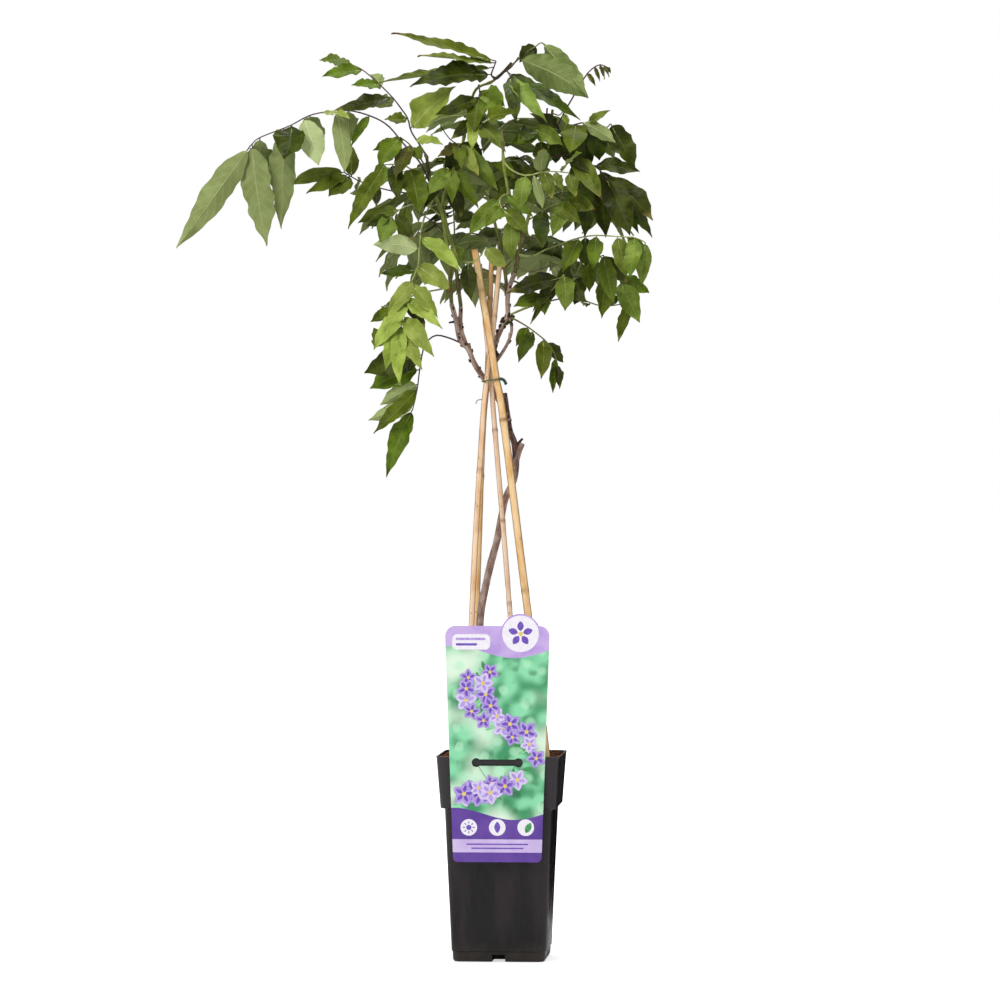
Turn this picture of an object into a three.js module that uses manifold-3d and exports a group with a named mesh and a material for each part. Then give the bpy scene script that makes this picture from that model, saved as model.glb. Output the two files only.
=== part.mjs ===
// A young wisteria in a tall square nursery pot: pot, soil, four bamboo canes, a wire tie, a
// hanging picture label, one woody stem with its branches, five shoots and the compound leaves.
// Units are millimetres, +Z is up, the origin is the middle of the pot's base on the ground,
// and the pot's front, which carries the label, faces -Y.

import * as THREE from "three";
import { mergeVertices } from "three/addons/utils/BufferGeometryUtils.js";
import Module from "manifold-3d";

const wasm = await Module();
wasm.setup();

// ---------------------------------------------------------------- driving dimensions

const SEAT = 0.3; // clearance between two pieces that touch
const PLANT_TURN = 4.3; // degrees that the plant is turned about the pot's axis

const POT_HEIGHT = 174;
const RIM_HALF = 52.5; // half of the pot's outer width at the rim
const COLLAR_FOOT = 130; // height of the stacking collar's lower edge
const COLLAR_HALF = 49;
const BODY_HALF = 45.6; // just under the collar
const BASE_HALF = 40.2; // above the foot band
const FOOT_HALF = 39; // at the ground
const FOOT_BAND = 9;
const CORNER = 0.17; // corner radius as a share of the half width
const POT_WALL = 1.4;
const POT_FLOOR = 7.6;
const CHANNEL = { width: 11, height: 6, reach: 25 }; // drainage notch in the middle of each side
const DRAIN_RADIUS = 4;
const DRAIN_INSET = 6; // from a channel's inner end to its drain hole's middle
const OVER = 1; // how far a cutting solid runs past the surface that it cuts

const SOIL_TOP = 170.5;
const SOIL_DOME = 3; // rise of the soil in the middle

const CANE_SIDES = 8;
const STEM_SIDES = 5;
const STALK_SIDES = 3;
const HOLE_SIDES = 12;

const TIE = { radius: 0.75, tailRadii: [1.3, 0.9], sides: 6, steps: 34 };
const LABEL = { width: 88.6, foot: 74.4, low: 85.3, high: 284, thick: 0.8, corner: 9, footCorner: 4 };
const LABEL_DISC = { x: 19.6, z: 277.4, radius: 16.8 };
const LABEL_SLOT = { width: 35.5, low: 166.3, high: 171.7, bead: 3.8 };

// Places along a leaflet where its width is set, and the share of the greatest width there.
const LONG_BLADE = { stations: [0, 0.1, 0.34, 0.66, 1], widths: [0, 0.6, 1, 0.68, 0] };
const SHORT_BLADE = { stations: [0, 0.18, 0.55, 1], widths: [0, 0.78, 0.92, 0] };
const LONG_FROM = 42; // a leaflet at least this long takes the finer outline
const STALKLET_HALF = 0.3; // a leaflet's own short stalk, sunk in the rachis
const BLADE_ARCH = 0.1; // how far a leaflet bows, as a share of its length
const LEVEL_ARCH = 0.02; // the same for one that is held out level
const KEEL = 1.2; // the midrib's depth under the line between the margins
const KEEL_LEAST = 0.4; // the share of that depth that is left where the blade is narrowest
const BLADE_WAVE = 0.07; // height of the margin's waves as a share of the width
const BLADE_SWAY = 0.12; // how far a leaflet curves sideways, from one extreme to the other

// ---------------------------------------------------------------- colours and finishes

const FINISH = {
  pot: { color: 0x2a2728, roughness: 0.5, metalness: 0 },
  soil: { color: 0x3a261b, roughness: 1, metalness: 0 },
  cane: { color: 0xe3b478, roughness: 0.55, metalness: 0 },
  tie: { color: 0x4d5a2c, roughness: 0.45, metalness: 0 },
  label: { color: 0xa9c9a4, roughness: 0.35, metalness: 0 },
  bark: { color: 0x7d675d, roughness: 0.9, metalness: 0 },
  shoot: { color: 0x7d8a45, roughness: 0.7, metalness: 0 },
  dark: { color: 0x2f4a1f, roughness: 0.5, metalness: 0 },
  mid: { color: 0x4a6a28, roughness: 0.5, metalness: 0 },
  bright: { color: 0x5b8228, roughness: 0.5, metalness: 0 },
  yellow: { color: 0x94a63c, roughness: 0.5, metalness: 0 },
};

// ---------------------------------------------------------------- the plant's lines

const V = (x, y, z) => new THREE.Vector3(x, y, z);

// Each cane: its points from the foot up, and its radius at the foot and at the top.
const CANES = {
  cane_front: {
    points: [[39, -31.4, 138], [37, -31, 176], [22.1, -22, 291], [1.3, -10, 456], [-5, -7, 492],
      [-10.2, -6.5, 525], [-23.3, -5, 602]],
    radii: [3.4, 3.1],
  },
  cane_left: {
    points: [[-34, -27, 40], [-26, -20, 284], [-17.5, -8, 440], [-13, -3, 492],
      [-9.2, 0.4, 520], [-1.8, 2.5, 590.5]],
    radii: [2.5, 2.2],
  },
  cane_back: {
    points: [[-30, 28, 40], [-22, 21, 284], [-16.5, 12, 440], [-12.8, 9, 492],
      [-8.9, 10, 593]],
    radii: [2.5, 2.2],
  },
  cane_right: {
    points: [[24, -7, 40], [6.8, -4, 291], [-6, 0.5, 448], [-9.6, 3.3, 492],
      [-19, 7, 590]],
    radii: [2.3, 2],
  },
};

// The woody stem: every line is fused into one body.
const WOOD = {
  trunk: {
    points: [[-14, 2, 118], [-15.5, 2, 170], [-17, 3, 230], [-18.7, 4, 285], [-12, 6, 325],
      [-4.3, 8, 355], [2.6, 9.5, 389], [11, 9, 410], [11, 8, 434], [6.8, 7, 448],
      [4, 6.5, 466], [2, 6, 480]],
    radii: [3.7, 2.1],
  },
  pruned_stub: { points: [[10, 9, 416], [14, 8, 430], [17, 7, 437]], radii: [3, 2.4] },
  living_stem: {
    points: [[6, 6.5, 456], [0, 11, 470], [-8, 18, 482], [-14, 17.5, 491], [-19, 13, 498],
      [-24, 7, 506], [-28.6, 5, 517], [-35.7, 5, 526], [-39.4, 5, 543], [-43, 5, 556]],
    radii: [2.7, 1.9],
  },
  left_fork: { points: [[-30, 5, 519], [-35.2, 8, 537], [-35, 8, 553]], radii: [1.9, 1.7] },
  right_branch: {
    points: [[-5, 14, 477], [-6.8, 13.6, 500], [-7, 11.8, 514], [-4.6, 9.7, 526],
      [0, 8, 536.5], [4.7, 6, 546], [4.8, 6, 561], [7.2, 5, 573], [10.8, 4, 582]],
    radii: [2.5, 1.8],
  },
  right_twin: { points: [[-5.6, 11.5, 506], [3.4, 8, 520], [8.2, 6, 534], [6, 6, 546]], radii: [1.3, 1.2] },
};

// The shoots that carry the leaves. Each starts at the end or on the side of a woody line.
const SHOOTS = {
  shoot_left: {
    points: [[-43, 5, 556.4], [-46, -1, 600], [-52, -5, 635], [-60, -6, 655], [-64, -6, 681]],
    radii: [1.7, 1.3],
  },
  shoot_tall: {
    points: [[-35, 8, 553.4], [-41, 7, 600], [-47, 6, 622], [-50, 4, 645], [-42, 4, 668],
      [-34, 4, 690], [-28, 2, 720], [-22, 0, 738], [-8, 0, 745], [5, 0, 756]],
    radii: [1.7, 1],
  },
  shoot_right: {
    points: [[10.9, 4, 582.4], [16, 4, 605], [24, 4, 635], [33, 3, 665], [39, 2, 690], [43, 2, 721]],
    radii: [1.8, 1.2],
  },
  shoot_back: {
    points: [[5, 6, 556], [3, 22, 580], [-4, 42, 618], [-14, 54, 655], [-22, 58, 695]],
    radii: [1.7, 1.1],
  },
  shoot_front: {
    points: [[15, 4, 600], [14, -12, 615], [8, -30, 640], [2, -42, 668], [0, -46, 700]],
    radii: [1.5, 1.1],
  },
};

// The compound leaves whose leaflets are placed one by one. "on" is the carrying line and a place
// along its points, "stalk" the points that the leaf's own stalk runs through after that place.
// A leaflet: its place along the stalk (0 is the foot), its tip's x, y and z, its width and facing.
const FRONDS = [
  {
    name: "leaf_far_left", on: ["shoot_left", 3.1], tone: "mid",
    stalk: [[-70, -8, 676], [-84, -8, 692], [-97, -8, 707], [-112, -9, 715], [-130, -10, 719.5],
      [-146, -12, 718.5], [-163, -14, 715], [-180, -16, 706], [-205, -18, 696], [-213, -18, 689]],
    leaflets: [[10, -275, -32, 602, 23, "B"], [10, -199, -12, 605, 27, "B"],
      [8.2, -188, 2, 620, 23, "B"], [7.9, -184, -30, 677, 28, "F"],
      [7.3, -155, -24, 672, 21, "B"], [5.7, -133, -28, 665, 15, "B"],
      [6.4, -127, -36, 710.5, 10, "U"], [9, -205, 34, 640, 20, "B"],
      [7, -160, 32, 678, 20, "B"], [5, -132, 26, 690, 16, "B"],
      [4, -127.5, -16, 689, 8, "F"]],
  },
  {
    name: "leaf_top_left", on: ["shoot_left", 4], tone: "mid",
    stalk: [[-70, -5, 691], [-77, -4, 702], [-80, -4, 713], [-86, -4, 722], [-93, -4, 731],
      [-105, -4, 743], [-118, -4, 754], [-128, -4, 759]],
    leaflets: [[7, -152, -16, 748, 13, "F"], [8, -155, 0, 763, 14, "U"], [6, -127, -16, 741, 12, "F"],
      [5, -143, -12, 719, 14, "F"], [4.8, -112, 14, 725, 11, "B"],
      [3, -99, -14, 712, 12, "F"], [2.2, -40, -24, 739, 26, "F"],
      [1.4, -50, -24, 690, 11, "F"], [6, -112, 22, 752, 12, "B"]],
  },
  {
    name: "leaf_tip_left", on: ["shoot_tall", 8.2], tone: "dark",
    stalk: [[-9, -4, 750], [-7, -8, 756], [-5, -11, 761]],
    leaflets: [[3, -92, -30, 784, 13, "E"], [2.7, -70, -44, 764, 11, "E"],
      [2, -104, -20, 743, 13, "E"], [1, -77, -38, 738.5, 24, "F"]],
  },
  {
    name: "leaf_tip_low", on: ["shoot_tall", 7.2], tone: "mid",
    stalk: [[-19, -12, 736], [-19, -20, 730]],
    leaflets: [[2, -56, -26, 715, 14, "F"], [2, -24, -34, 700, 17, "F"],
      [1.5, 2, -34, 712, 15, "F"], [1, 2, -30, 722, 18, "F"]],
  },
  {
    name: "leaf_tip_right", on: ["shoot_tall", 8.9], tone: "mid",
    stalk: [[5, -6, 752], [7, -12, 748]],
    leaflets: [[1, 66, -24, 711, 14, "F"], [2, 38, -36, 708, 16, "F"],
      [2, 12, -44, 706, 14, "F"]],
  },
  {
    name: "leaf_top_right", on: ["shoot_tall", 9], tone: "mid",
    stalk: [[11, 0, 761], [20, 2, 769], [29, 3, 775], [34, 5, 778], [42, 7, 772]],
    leaflets: [[1.4, 73, -24, 729, 27, "B"], [3, 15, 0, 761, 14, "F"],
      [4, 71.5, -30, 731, 18, "B"], [4.5, 60, 40, 744, 14, "B"]],
  },
  {
    name: "leaf_young", on: ["shoot_right", 4.4], tone: "yellow",
    stalk: [[47, 1, 707], [52, 0, 717], [60, 0, 731], [70, 0, 748], [76, 0, 755], [83, 0, 759],
      [89, 0, 757]],
    leaflets: [[7, 92, -2, 752, 4, "F"], [6.6, 91, -6, 749, 4, "F"], [6, 87, -6, 747, 5, "F"],
      [5.4, 83, -6, 745, 5, "F"], [4.4, 79, -6, 741, 6, "F"], [2, 56, -6, 707, 6, "F"]],
  },
  {
    name: "leaf_right_upper", on: ["shoot_right", 4.2], tone: "mid",
    stalk: [[50, -4, 702], [66, -9, 709], [80, -10, 706], [86, -12, 703], [92, -13, 708]],
    leaflets: [[5, 113, -14, 670, 20, "F"], [2.4, 91, -20, 719, 8, "F"],
      [2.1, 96, -28, 691, 12, "B"], [1.8, 57, -34, 682, 22, "F"], [1, 24, -22, 716, 14, "F"],
      [4, 96, 16, 680, 16, "B"],
      [1.5, 60, 10, 674, 20, "F"], [3, 83, 6, 678, 17, "F"]],
  },
  {
    name: "leaf_right_dark", on: ["shoot_right", 3.4], tone: "dark",
    stalk: [[46, 0, 682], [60, -2, 680], [78, -4, 673], [90, -6, 662]],
    leaflets: [[3, 117, -6, 668, 14, "F"], [2, 84, -36, 643, 18, "F"],
      [4, 128, -14, 626, 22, "F"], [4, 108, -26, 613, 26, "F"], [3, 70, 14, 612, 18, "F"],
      [4, 128, 12, 613, 17, "F"], [1.4, 79, -22, 664, 9, "F"],
      [3.4, 88, -8, 612, 22, "F"]],
  },
  {
    name: "leaf_right_row", on: ["shoot_right", 0.7], tone: "bright",
    stalk: [[25, -6, 596], [36, -14, 601], [50, -20, 606], [65, -24, 611], [80, -26, 613],
      [97, -28, 612], [112, -28, 611], [121, -27, 607]],
    leaflets: [[4, 51, -38, 582, 16, "F"], [5, 77, -38, 584, 13, "F"],
      [6, 105, -30, 577, 16, "F"], [7, 107, -44, 576, 15, "F"],
      [8, 118, -34, 570, 13, "F"], [4.4, 72, -6, 588, 14, "F"], [6.5, 122, -2, 588, 14, "F"]],
  },
  {
    name: "leaf_right_low", on: ["shoot_right", 0.25], tone: "mid",
    stalk: [[24, 2, 583], [40, 4, 588], [56, 2, 590], [72, -2, 592], [86, -6, 597]],
    leaflets: [[5, 95, -14, 555, 15, "F"], [4, 74, -12, 566, 14, "F"],
      [5, 108, 10, 574, 15, "F"], [3, 50, 22, 562, 14, "F"]],
  },
  {
    name: "leaf_right_bottom", on: ["right_branch", 7.3], tone: "mid",
    stalk: [[24, 14, 572], [45, 16, 577], [70, 16, 580], [90, 14, 579], [101, 11, 576]],
    leaflets: [[5, 117, 2, 540, 19, "F"], [4, 85, 0, 544, 16, "F"],
      [5, 126, 24, 566, 14, "F"], [3, 62, 30, 556, 15, "F"], [2, 33, 26, 553, 14, "F"]],
  },
  {
    name: "leaf_right_wavy", on: ["right_branch", 5], tone: "mid",
    stalk: [[30, 26, 556], [60, 28, 562], [85, 26, 555], [108, 20, 557]],
    leaflets: [[4, 99, 14, 524, 10, "F"], [3.4, 92, 46, 566, 14, "F"],
      [2.2, 70, 50, 556, 14, "F"]],
  },
  {
    name: "leaf_right_petiole", on: ["right_branch", 5], tone: "bright",
    stalk: [[16, -4, 551], [30, -13, 558], [42, -20, 567], [52, -26, 580]],
    leaflets: [[2.5, 36, -24, 546, 10, "F"], [4, 53, -36, 549, 17, "F"],
      [4, 4, -30, 564, 16, "F"], [4, 72, -34, 556, 14, "F"],
      [3, 26, -34, 549, 8, "F"],
      [2.4, 10, -28, 553, 13, "F"]],
  },
  {
    name: "leaf_small_right", on: ["right_branch", 5], tone: "mid",
    stalk: [[14, 0, 541], [22, -6, 536], [30, -10, 530], [38, -14, 523], [44, -16, 514],
      [47, -17, 504]],
    leaflets: [[2, 12, -14, 520, 10, "F"], [2.6, 14, -24, 506, 12, "F"],
      [3.6, 33, -28, 492, 14, "F"], [6, 49, -20, 484, 8, "F"], [5.4, 43, -12, 480, 7, "F"],
      [4, 52, -2, 506, 11, "F"]],
  },
  {
    name: "leaf_front_row", on: ["shoot_front", 3.2], tone: "bright",
    stalk: [[8, -50, 667], [20, -56, 662], [35, -60, 665], [45, -62, 665], [56, -62, 664]],
    leaflets: [[2, 15, -70, 631, 15, "F"], [2.4, 34, -74, 633, 8, "B"],
      [3, 42, -70, 641, 11, "F"], [4, 51, -72, 648, 8, "F"], [5, 62, -68, 643, 11, "F"],
      [3, 34, -88, 683, 14, "U"], [4.4, 66, -84, 680, 13, "U"]],
  },
  {
    name: "leaf_front_middle", on: ["shoot_front", 2.2], tone: "bright",
    stalk: [[3, -44, 647], [-2, -52, 642], [0, -60, 634], [8, -66, 625]],
    leaflets: [[2, -28, -58, 611, 15, "F"], [3, 22, -78, 611, 17, "F"],
      [4, 9, -72, 589, 14, "F"], [3, -14, -76, 618, 13, "F"], [1, 26, -52, 628, 14, "F"]],
  },
  {
    name: "leaf_front_right", on: ["shoot_front", 1.3], tone: "bright",
    stalk: [[26, -28, 628], [40, -36, 637], [56, -40, 641]],
    leaflets: [[3, 42, -54, 611, 16, "F"], [2.4, 66, -56, 622, 14, "F"],
      [1.6, 34, -50, 602, 15, "F"], [3, 78, -50, 634, 15, "F"]],
  },
  {
    name: "leaf_cane_top", on: ["shoot_tall", 1.1], tone: "yellow",
    stalk: [[-33, -8, 592], [-22, -17, 592], [-14, -20, 603]],
    leaflets: [[3, 4, -26, 586, 14, "F"], [1.4, -26, -22, 558, 14, "F"],
      [1, -40, -24, 604, 10, "F"]],
  },
  {
    name: "leaf_yellow", on: ["shoot_left", 2.6], tone: "yellow",
    stalk: [[-66, -15, 628], [-69, -22, 612], [-70, -26, 600], [-71, -28, 587], [-77, -30, 572],
      [-80, -32, 560], [-83, -34, 545], [-86, -36, 532]],
    leaflets: [[2, -35, -36, 582, 14, "F"], [2.9, -109, -30, 605, 17, "B"],
      [4, -43, -40, 566, 18, "F"], [4.2, -103, -20, 581, 11, "F"], [5, -54, -46, 543, 15, "F"],
      [5, -97, -38, 544, 15, "F"], [6, -50, -54, 534, 14, "F"], [6, -100, -44, 526, 13, "F"],
      [7, -57, -58, 510, 15, "F"], [7, -108, -48, 516, 14, "F"], [8, -67, -60, 499, 14, "F"],
      [8, -98, -52, 499, 14, "F"], [8, -86, -60, 486, 14, "F"]],
  },
  {
    name: "leaf_lower_left", on: ["living_stem", 6.6], tone: "dark",
    stalk: [[-45, 5, 527], [-57, 5, 529], [-66, 3, 520], [-70, 1, 500], [-72, 0, 484], [-76, 0, 466]],
    leaflets: [[5, -109, -14, 446, 16, "F"], [6, -98, -10, 409, 17, "F"],
      [5, -104, 8, 470, 16, "B"], [5.7, -114, 12, 457, 14, "B"],
      [4, -113, 16, 484, 21, "F"], [3.4, -117, -6, 497, 27, "F"]],
  },
  {
    name: "leaf_left_behind", on: ["shoot_left", 0.3], tone: "dark",
    stalk: [[-56, 14, 568], [-75, 22, 564], [-92, 24, 552], [-98, 24, 536]],
    leaflets: [[3, -112, 14, 541, 12, "F"], [4, -109, 16, 518, 18, "F"], [4, -80, 26, 500, 18, "F"],
      [2.4, -66, 34, 536, 15, "F"], [3, -101, 44, 556, 15, "F"]],
  },
  {
    name: "leaf_left_lobes", on: ["shoot_left", 2.8], tone: "mid",
    stalk: [[-75, 6, 650], [-92, 10, 652], [-108, 12, 656], [-122, 12, 661], [-134, 12, 668]],
    leaflets: [[5, -181, 8, 657, 14, "F"], [5, -166, -4, 650, 14, "F"],
      [4.6, -147, -8, 647, 19, "F"], [4.5, -129, 30, 692, 13, "F"],
      [3, -107, 2, 639, 9, "F"], [4, -124, 38, 650, 15, "F"], [3, -102, 36, 678, 14, "F"]],
  },
  {
    name: "leaf_left_cluster", on: ["shoot_left", 3.5], tone: "mid",
    stalk: [[-70, -14, 680], [-78, -20, 690], [-86, -24, 696]],
    leaflets: [[3, -104, -34, 671, 18, "F"], [2.6, -109, -24, 685, 11, "F"],
      [2, -90, -40, 661, 17, "F"], [2, -68, -34, 676, 12, "F"]],
  },
  {
    name: "leaf_left_hanging", on: ["shoot_left", 2.95], tone: "mid",
    stalk: [[-70, -14, 664], [-84, -18, 673], [-99, -20, 673]],
    leaflets: [[3, -130, -26, 619, 15, "F"], [1.6, -69, -40, 631, 22, "F"],
      [2.6, -88, -46, 640, 14, "F"]],
  },
  {
    name: "leaf_left_inner", on: ["shoot_left", 1.8], tone: "bright",
    stalk: [[-62, -6, 638], [-75, -10, 640], [-87, -16, 635], [-94, -20, 628]],
    leaflets: [[4, -114, -26, 621, 10, "F"], [4, -103, -32, 607, 17, "F"],
      [3.4, -74, -36, 607, 11, "F"], [3, -122, -16, 624, 13, "F"]],
  },
  {
    name: "leaf_tall_inner", on: ["shoot_tall", 4.8], tone: "bright",
    stalk: [[-38, -8, 691], [-35, -18, 691]],
    leaflets: [[2, -54, -24, 680, 11, "F"], [2, -19, -36, 662, 13, "F"],
      [1.4, -3, -26, 650, 14, "F"], [2, -34, -46, 668, 12, "F"]],
  },
  {
    name: "leaf_tall_middle", on: ["shoot_tall", 3.6], tone: "bright",
    stalk: [[-47, -10, 670], [-45, -20, 669]],
    leaflets: [[2, -62, -34, 647, 16, "F"], [2, -42, -40, 640, 13, "F"],
      [1.4, -20, -28, 636, 14, "F"], [1, -66, -18, 636, 12, "F"]],
  },
  {
    name: "leaf_tall_upper", on: ["shoot_tall", 6], tone: "mid",
    stalk: [[-25, -12, 715], [-20, -22, 708]],
    leaflets: [[2, 14, -54, 715, 17, "F"], [2, 3, -42, 683, 18, "F"],
      [2, -43, -30, 694, 11, "F"], [2, -25, -42, 684, 11, "F"]],
  },
  {
    name: "leaf_middle_upper", on: ["shoot_right", 3.9], tone: "mid",
    stalk: [[33, -10, 694], [26, -16, 704]],
    leaflets: [[2, 51, -32, 689, 16, "F"], [1.6, 8, -30, 690, 14, "F"],
      [1, 36, -26, 664, 14, "F"], [2, 14, -52, 690, 14, "F"]],
  },
  {
    name: "leaf_middle_dark", on: ["shoot_right", 2.6], tone: "dark",
    stalk: [[20, -10, 656], [10, -18, 664]],
    leaflets: [[2, -12, -24, 640, 15, "F"], [1.6, 34, -28, 672, 13, "F"], [1, 32, -32, 636, 15, "F"],
      [2, -10, -34, 674, 12, "F"]],
  },
];

// The leaves at the back, deep inside and towards the front, set by rule: the stalk springs from
// "on" and arches to "tip", with pairs of leaflets and one at the end.
const SPRAYS = [
  { name: "spray_back_1", on: ["shoot_back", 1.2], tip: [40, 96, 600], length: 50, tone: "mid" },
  { name: "spray_back_2", on: ["shoot_back", 1.8], tip: [-58, 98, 602], length: 48, tone: "dark" },
  { name: "spray_back_3", on: ["shoot_back", 2.4], tip: [60, 92, 660], length: 52, tone: "bright" },
  { name: "spray_back_4", on: ["shoot_back", 2.8], tip: [-90, 96, 650], length: 50, tone: "mid" },
  { name: "spray_back_5", on: ["shoot_back", 3.4], tip: [-8, 136, 670], length: 50, tone: "mid" },
  { name: "spray_back_6", on: ["shoot_back", 3.8], tip: [32, 104, 720], length: 46, tone: "dark" },
  { name: "spray_back_7", on: ["shoot_back", 4], tip: [-38, 98, 728], length: 46, tone: "bright" },
  { name: "spray_back_8", on: ["shoot_back", 1.5], tip: [0, 130, 622], length: 46, tone: "dark" },
  { name: "spray_side_1", on: ["shoot_tall", 2], tip: [-84, 58, 606], length: 46, tone: "mid" },
  { name: "spray_side_2", on: ["shoot_right", 2.2], tip: [84, 62, 640], length: 48, tone: "mid" },
  { name: "spray_inner_1", on: ["shoot_right", 3.2], tip: [6, 40, 672], length: 42, tone: "dark" },
  { name: "spray_inner_2", on: ["shoot_tall", 0.8], tip: [-42, 34, 640], length: 34, tone: "dark" },
  { name: "spray_inner_3", on: ["shoot_back", 0.5], tip: [-30, 42, 580], length: 38, tone: "mid" },
  { name: "spray_inner_4", on: ["shoot_tall", 3.3], tip: [-45, 40, 682], length: 42, tone: "mid" },
  { name: "spray_side_3", on: ["shoot_right", 1.2], tip: [72, 66, 592], length: 46, tone: "dark" },
];
const SPRAY_PAIRS = 3;
const SPRAY_RISE = 12; // how far such a stalk arches over the straight line
const SPRAY_FROM = 0.4; // the first pair's place, as a share of the stalk
const SPRAY_SPAN = 0.54; // from the first pair to the last
const SPRAY_WIDTH = 0.34; // a leaflet's width as a share of its length
const SPRAY_SIZES = [0.78, 1.04]; // the smallest and largest paired leaflet, as shares of the length
const SPRAY_ASIDE = 0.85; // how much a paired leaflet points away from the stalk
const SPRAY_FORWARD = 0.5; // how much a paired leaflet leans towards the stalk's tip
const SPRAY_DROOP = [0.35, 0.85]; // and how much it hangs, at the least and the most
const STALK_RADII = [1.2, 0.75];
const PAIR_SHIFT = 0.22; // in points of the stalk

// ---------------------------------------------------------------- solids and meshes

const MERGE = 1e-4;

// A closed three.js geometry as a solid, with shared corners merged.
function solidFrom(geometry) {
  const bare = geometry.clone();
  bare.deleteAttribute("normal");
  bare.deleteAttribute("uv");
  const merged = mergeVertices(bare, MERGE);
  const corners = merged.index.array;
  const kept = [];
  for (let i = 0; i < corners.length; i += 3) {
    const [a, b, c] = [corners[i], corners[i + 1], corners[i + 2]];
    if (a !== b && b !== c && c !== a) kept.push(a, b, c);
  }
  const vertProperties = merged.attributes.position.array;
  return new wasm.Manifold(new wasm.Mesh({ numProp: 3, vertProperties, triVerts: new Uint32Array(kept) }));
}

// The largest body of a solid: a scrap that a cut leaves loose is dropped.
function mainBody(solid) {
  return solid.decompose().reduce((best, body) => (body.volume() > best.volume() ? body : best));
}

function joined(solids) {
  return solids.reduce((whole, piece) => whole.add(piece));
}

function named(name, finish, solid) {
  const { vertProperties, triVerts } = solid.getMesh();
  const geometry = new THREE.BufferGeometry();
  geometry.setAttribute("position", new THREE.BufferAttribute(vertProperties, 3));
  geometry.setIndex(new THREE.BufferAttribute(triVerts, 1));
  const flat = geometry.toNonIndexed();
  flat.computeVertexNormals();
  const mesh = new THREE.Mesh(flat, new THREE.MeshStandardMaterial(FINISH[finish]));
  mesh.name = name;
  return mesh;
}

// A repeatable draw between 0 and 1.
function draw(n) {
  const wide = Math.sin(n * 12.9898) * 43758.5453;
  return wide - Math.floor(wide);
}

// ---------------------------------------------------------------- curves and tubes

function lineThrough(points) {
  return new THREE.CatmullRomCurve3(points.map((p) => V(...p)), false, "catmullrom", 0.5);
}

// The point at a place counted along the line's own points, such as 2.5.
function placeOn(points, place) {
  return lineThrough(points).getPoint(Math.min(place / (points.length - 1), 1));
}

// A closed tube through the points. "grow" widens it and lengthens it at both ends.
function tube(points, [footRadius, topRadius], sides, stepsPerSpan, grow = 0) {
  const line = lineThrough(points);
  const steps = (points.length - 1) * stepsPerSpan;
  const rings = [];
  let across = null;
  for (let i = 0; i <= steps; i++) {
    const centre = line.getPoint(i / steps);
    const along = line.getTangent(i / steps);
    across = (across ?? V(0.31, 0.93, 0.17)).clone();
    across.addScaledVector(along, -across.dot(along)).normalize();
    if (i === 0) centre.addScaledVector(along, -grow);
    if (i === steps) centre.addScaledVector(along, grow);
    rings.push({ centre, across, over: across.clone().cross(along) });
  }
  const shape = new THREE.CylinderGeometry(1, 1, 1, sides, steps);
  const place = shape.attributes.position;
  for (let i = 0; i < place.count; i++) {
    const t = place.getY(i) + 0.5;
    const ring = rings[Math.round(t * steps)];
    const radius = THREE.MathUtils.lerp(footRadius, topRadius, t) + grow;
    const point = ring.centre.clone();
    point.addScaledVector(ring.across, place.getX(i) * radius);
    point.addScaledVector(ring.over, place.getZ(i) * radius);
    place.setXYZ(i, ...point.toArray());
  }
  return solidFrom(shape);
}

// ---------------------------------------------------------------- pot

const RING = squareRing(4); // directions round a square with rounded corners

// Points round a square of half width 1, anticlockwise from the middle of the -Y side.
function squareRing(arcSteps) {
  const ring = [];
  for (let quarter = 0; quarter < 4; quarter++) {
    const turn = (quarter * Math.PI) / 2;
    const corner = [V(0, -1, 0)];
    for (let i = 0; i <= arcSteps; i++) {
      const angle = -Math.PI / 2 + (i / arcSteps) * (Math.PI / 2);
      const inset = 1 - CORNER;
      corner.push(V(inset + CORNER * Math.cos(angle), -inset + CORNER * Math.sin(angle), 0));
    }
    ring.push(...corner.map((p) => p.applyAxisAngle(V(0, 0, 1), turn)));
  }
  return ring;
}

// A solid of rounded-square sections. Each level is [half width, height], from the axis to the axis.
function squareSolid(levels, lift = () => 0) {
  const profile = levels.map(([half, z]) => new THREE.Vector2(half, z));
  const shape = new THREE.LatheGeometry(profile, RING.length);
  const place = shape.attributes.position;
  for (let i = 0; i < place.count; i++) {
    const around = Math.floor(i / levels.length) % RING.length;
    const [half, z] = levels[i % levels.length];
    const [x, y] = [RING[around].x * half, RING[around].y * half];
    place.setXYZ(i, x, y, z + lift(x, y, z));
  }
  return solidFrom(shape);
}

function box(width, depth, height, x, y, z) {
  return solidFrom(new THREE.BoxGeometry(width, depth, height).translate(x, y, z));
}

function upright(radius, low, high, x, y) {
  const shape = new THREE.CylinderGeometry(radius, radius, high - low, HOLE_SIDES);
  return solidFrom(shape.rotateX(Math.PI / 2).translate(x, y, (low + high) / 2));
}

// Half width of the pot's outside at a height, wall by wall from the ground up.
const POT_LEVELS = [[FOOT_HALF - 1, 0], [FOOT_HALF, 1.5], [FOOT_HALF + 0.4, FOOT_BAND - 0.8],
  [BASE_HALF, FOOT_BAND], [BODY_HALF, COLLAR_FOOT - 1], [COLLAR_HALF, COLLAR_FOOT],
  [RIM_HALF, POT_HEIGHT]];
// The same wall inside, from the floor up.
const CAVITY_LEVELS = [[BASE_HALF - POT_WALL, POT_FLOOR], [BODY_HALF - POT_WALL, COLLAR_FOOT - 0.5],
  [COLLAR_HALF - POT_WALL, COLLAR_FOOT + 2]];

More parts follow.
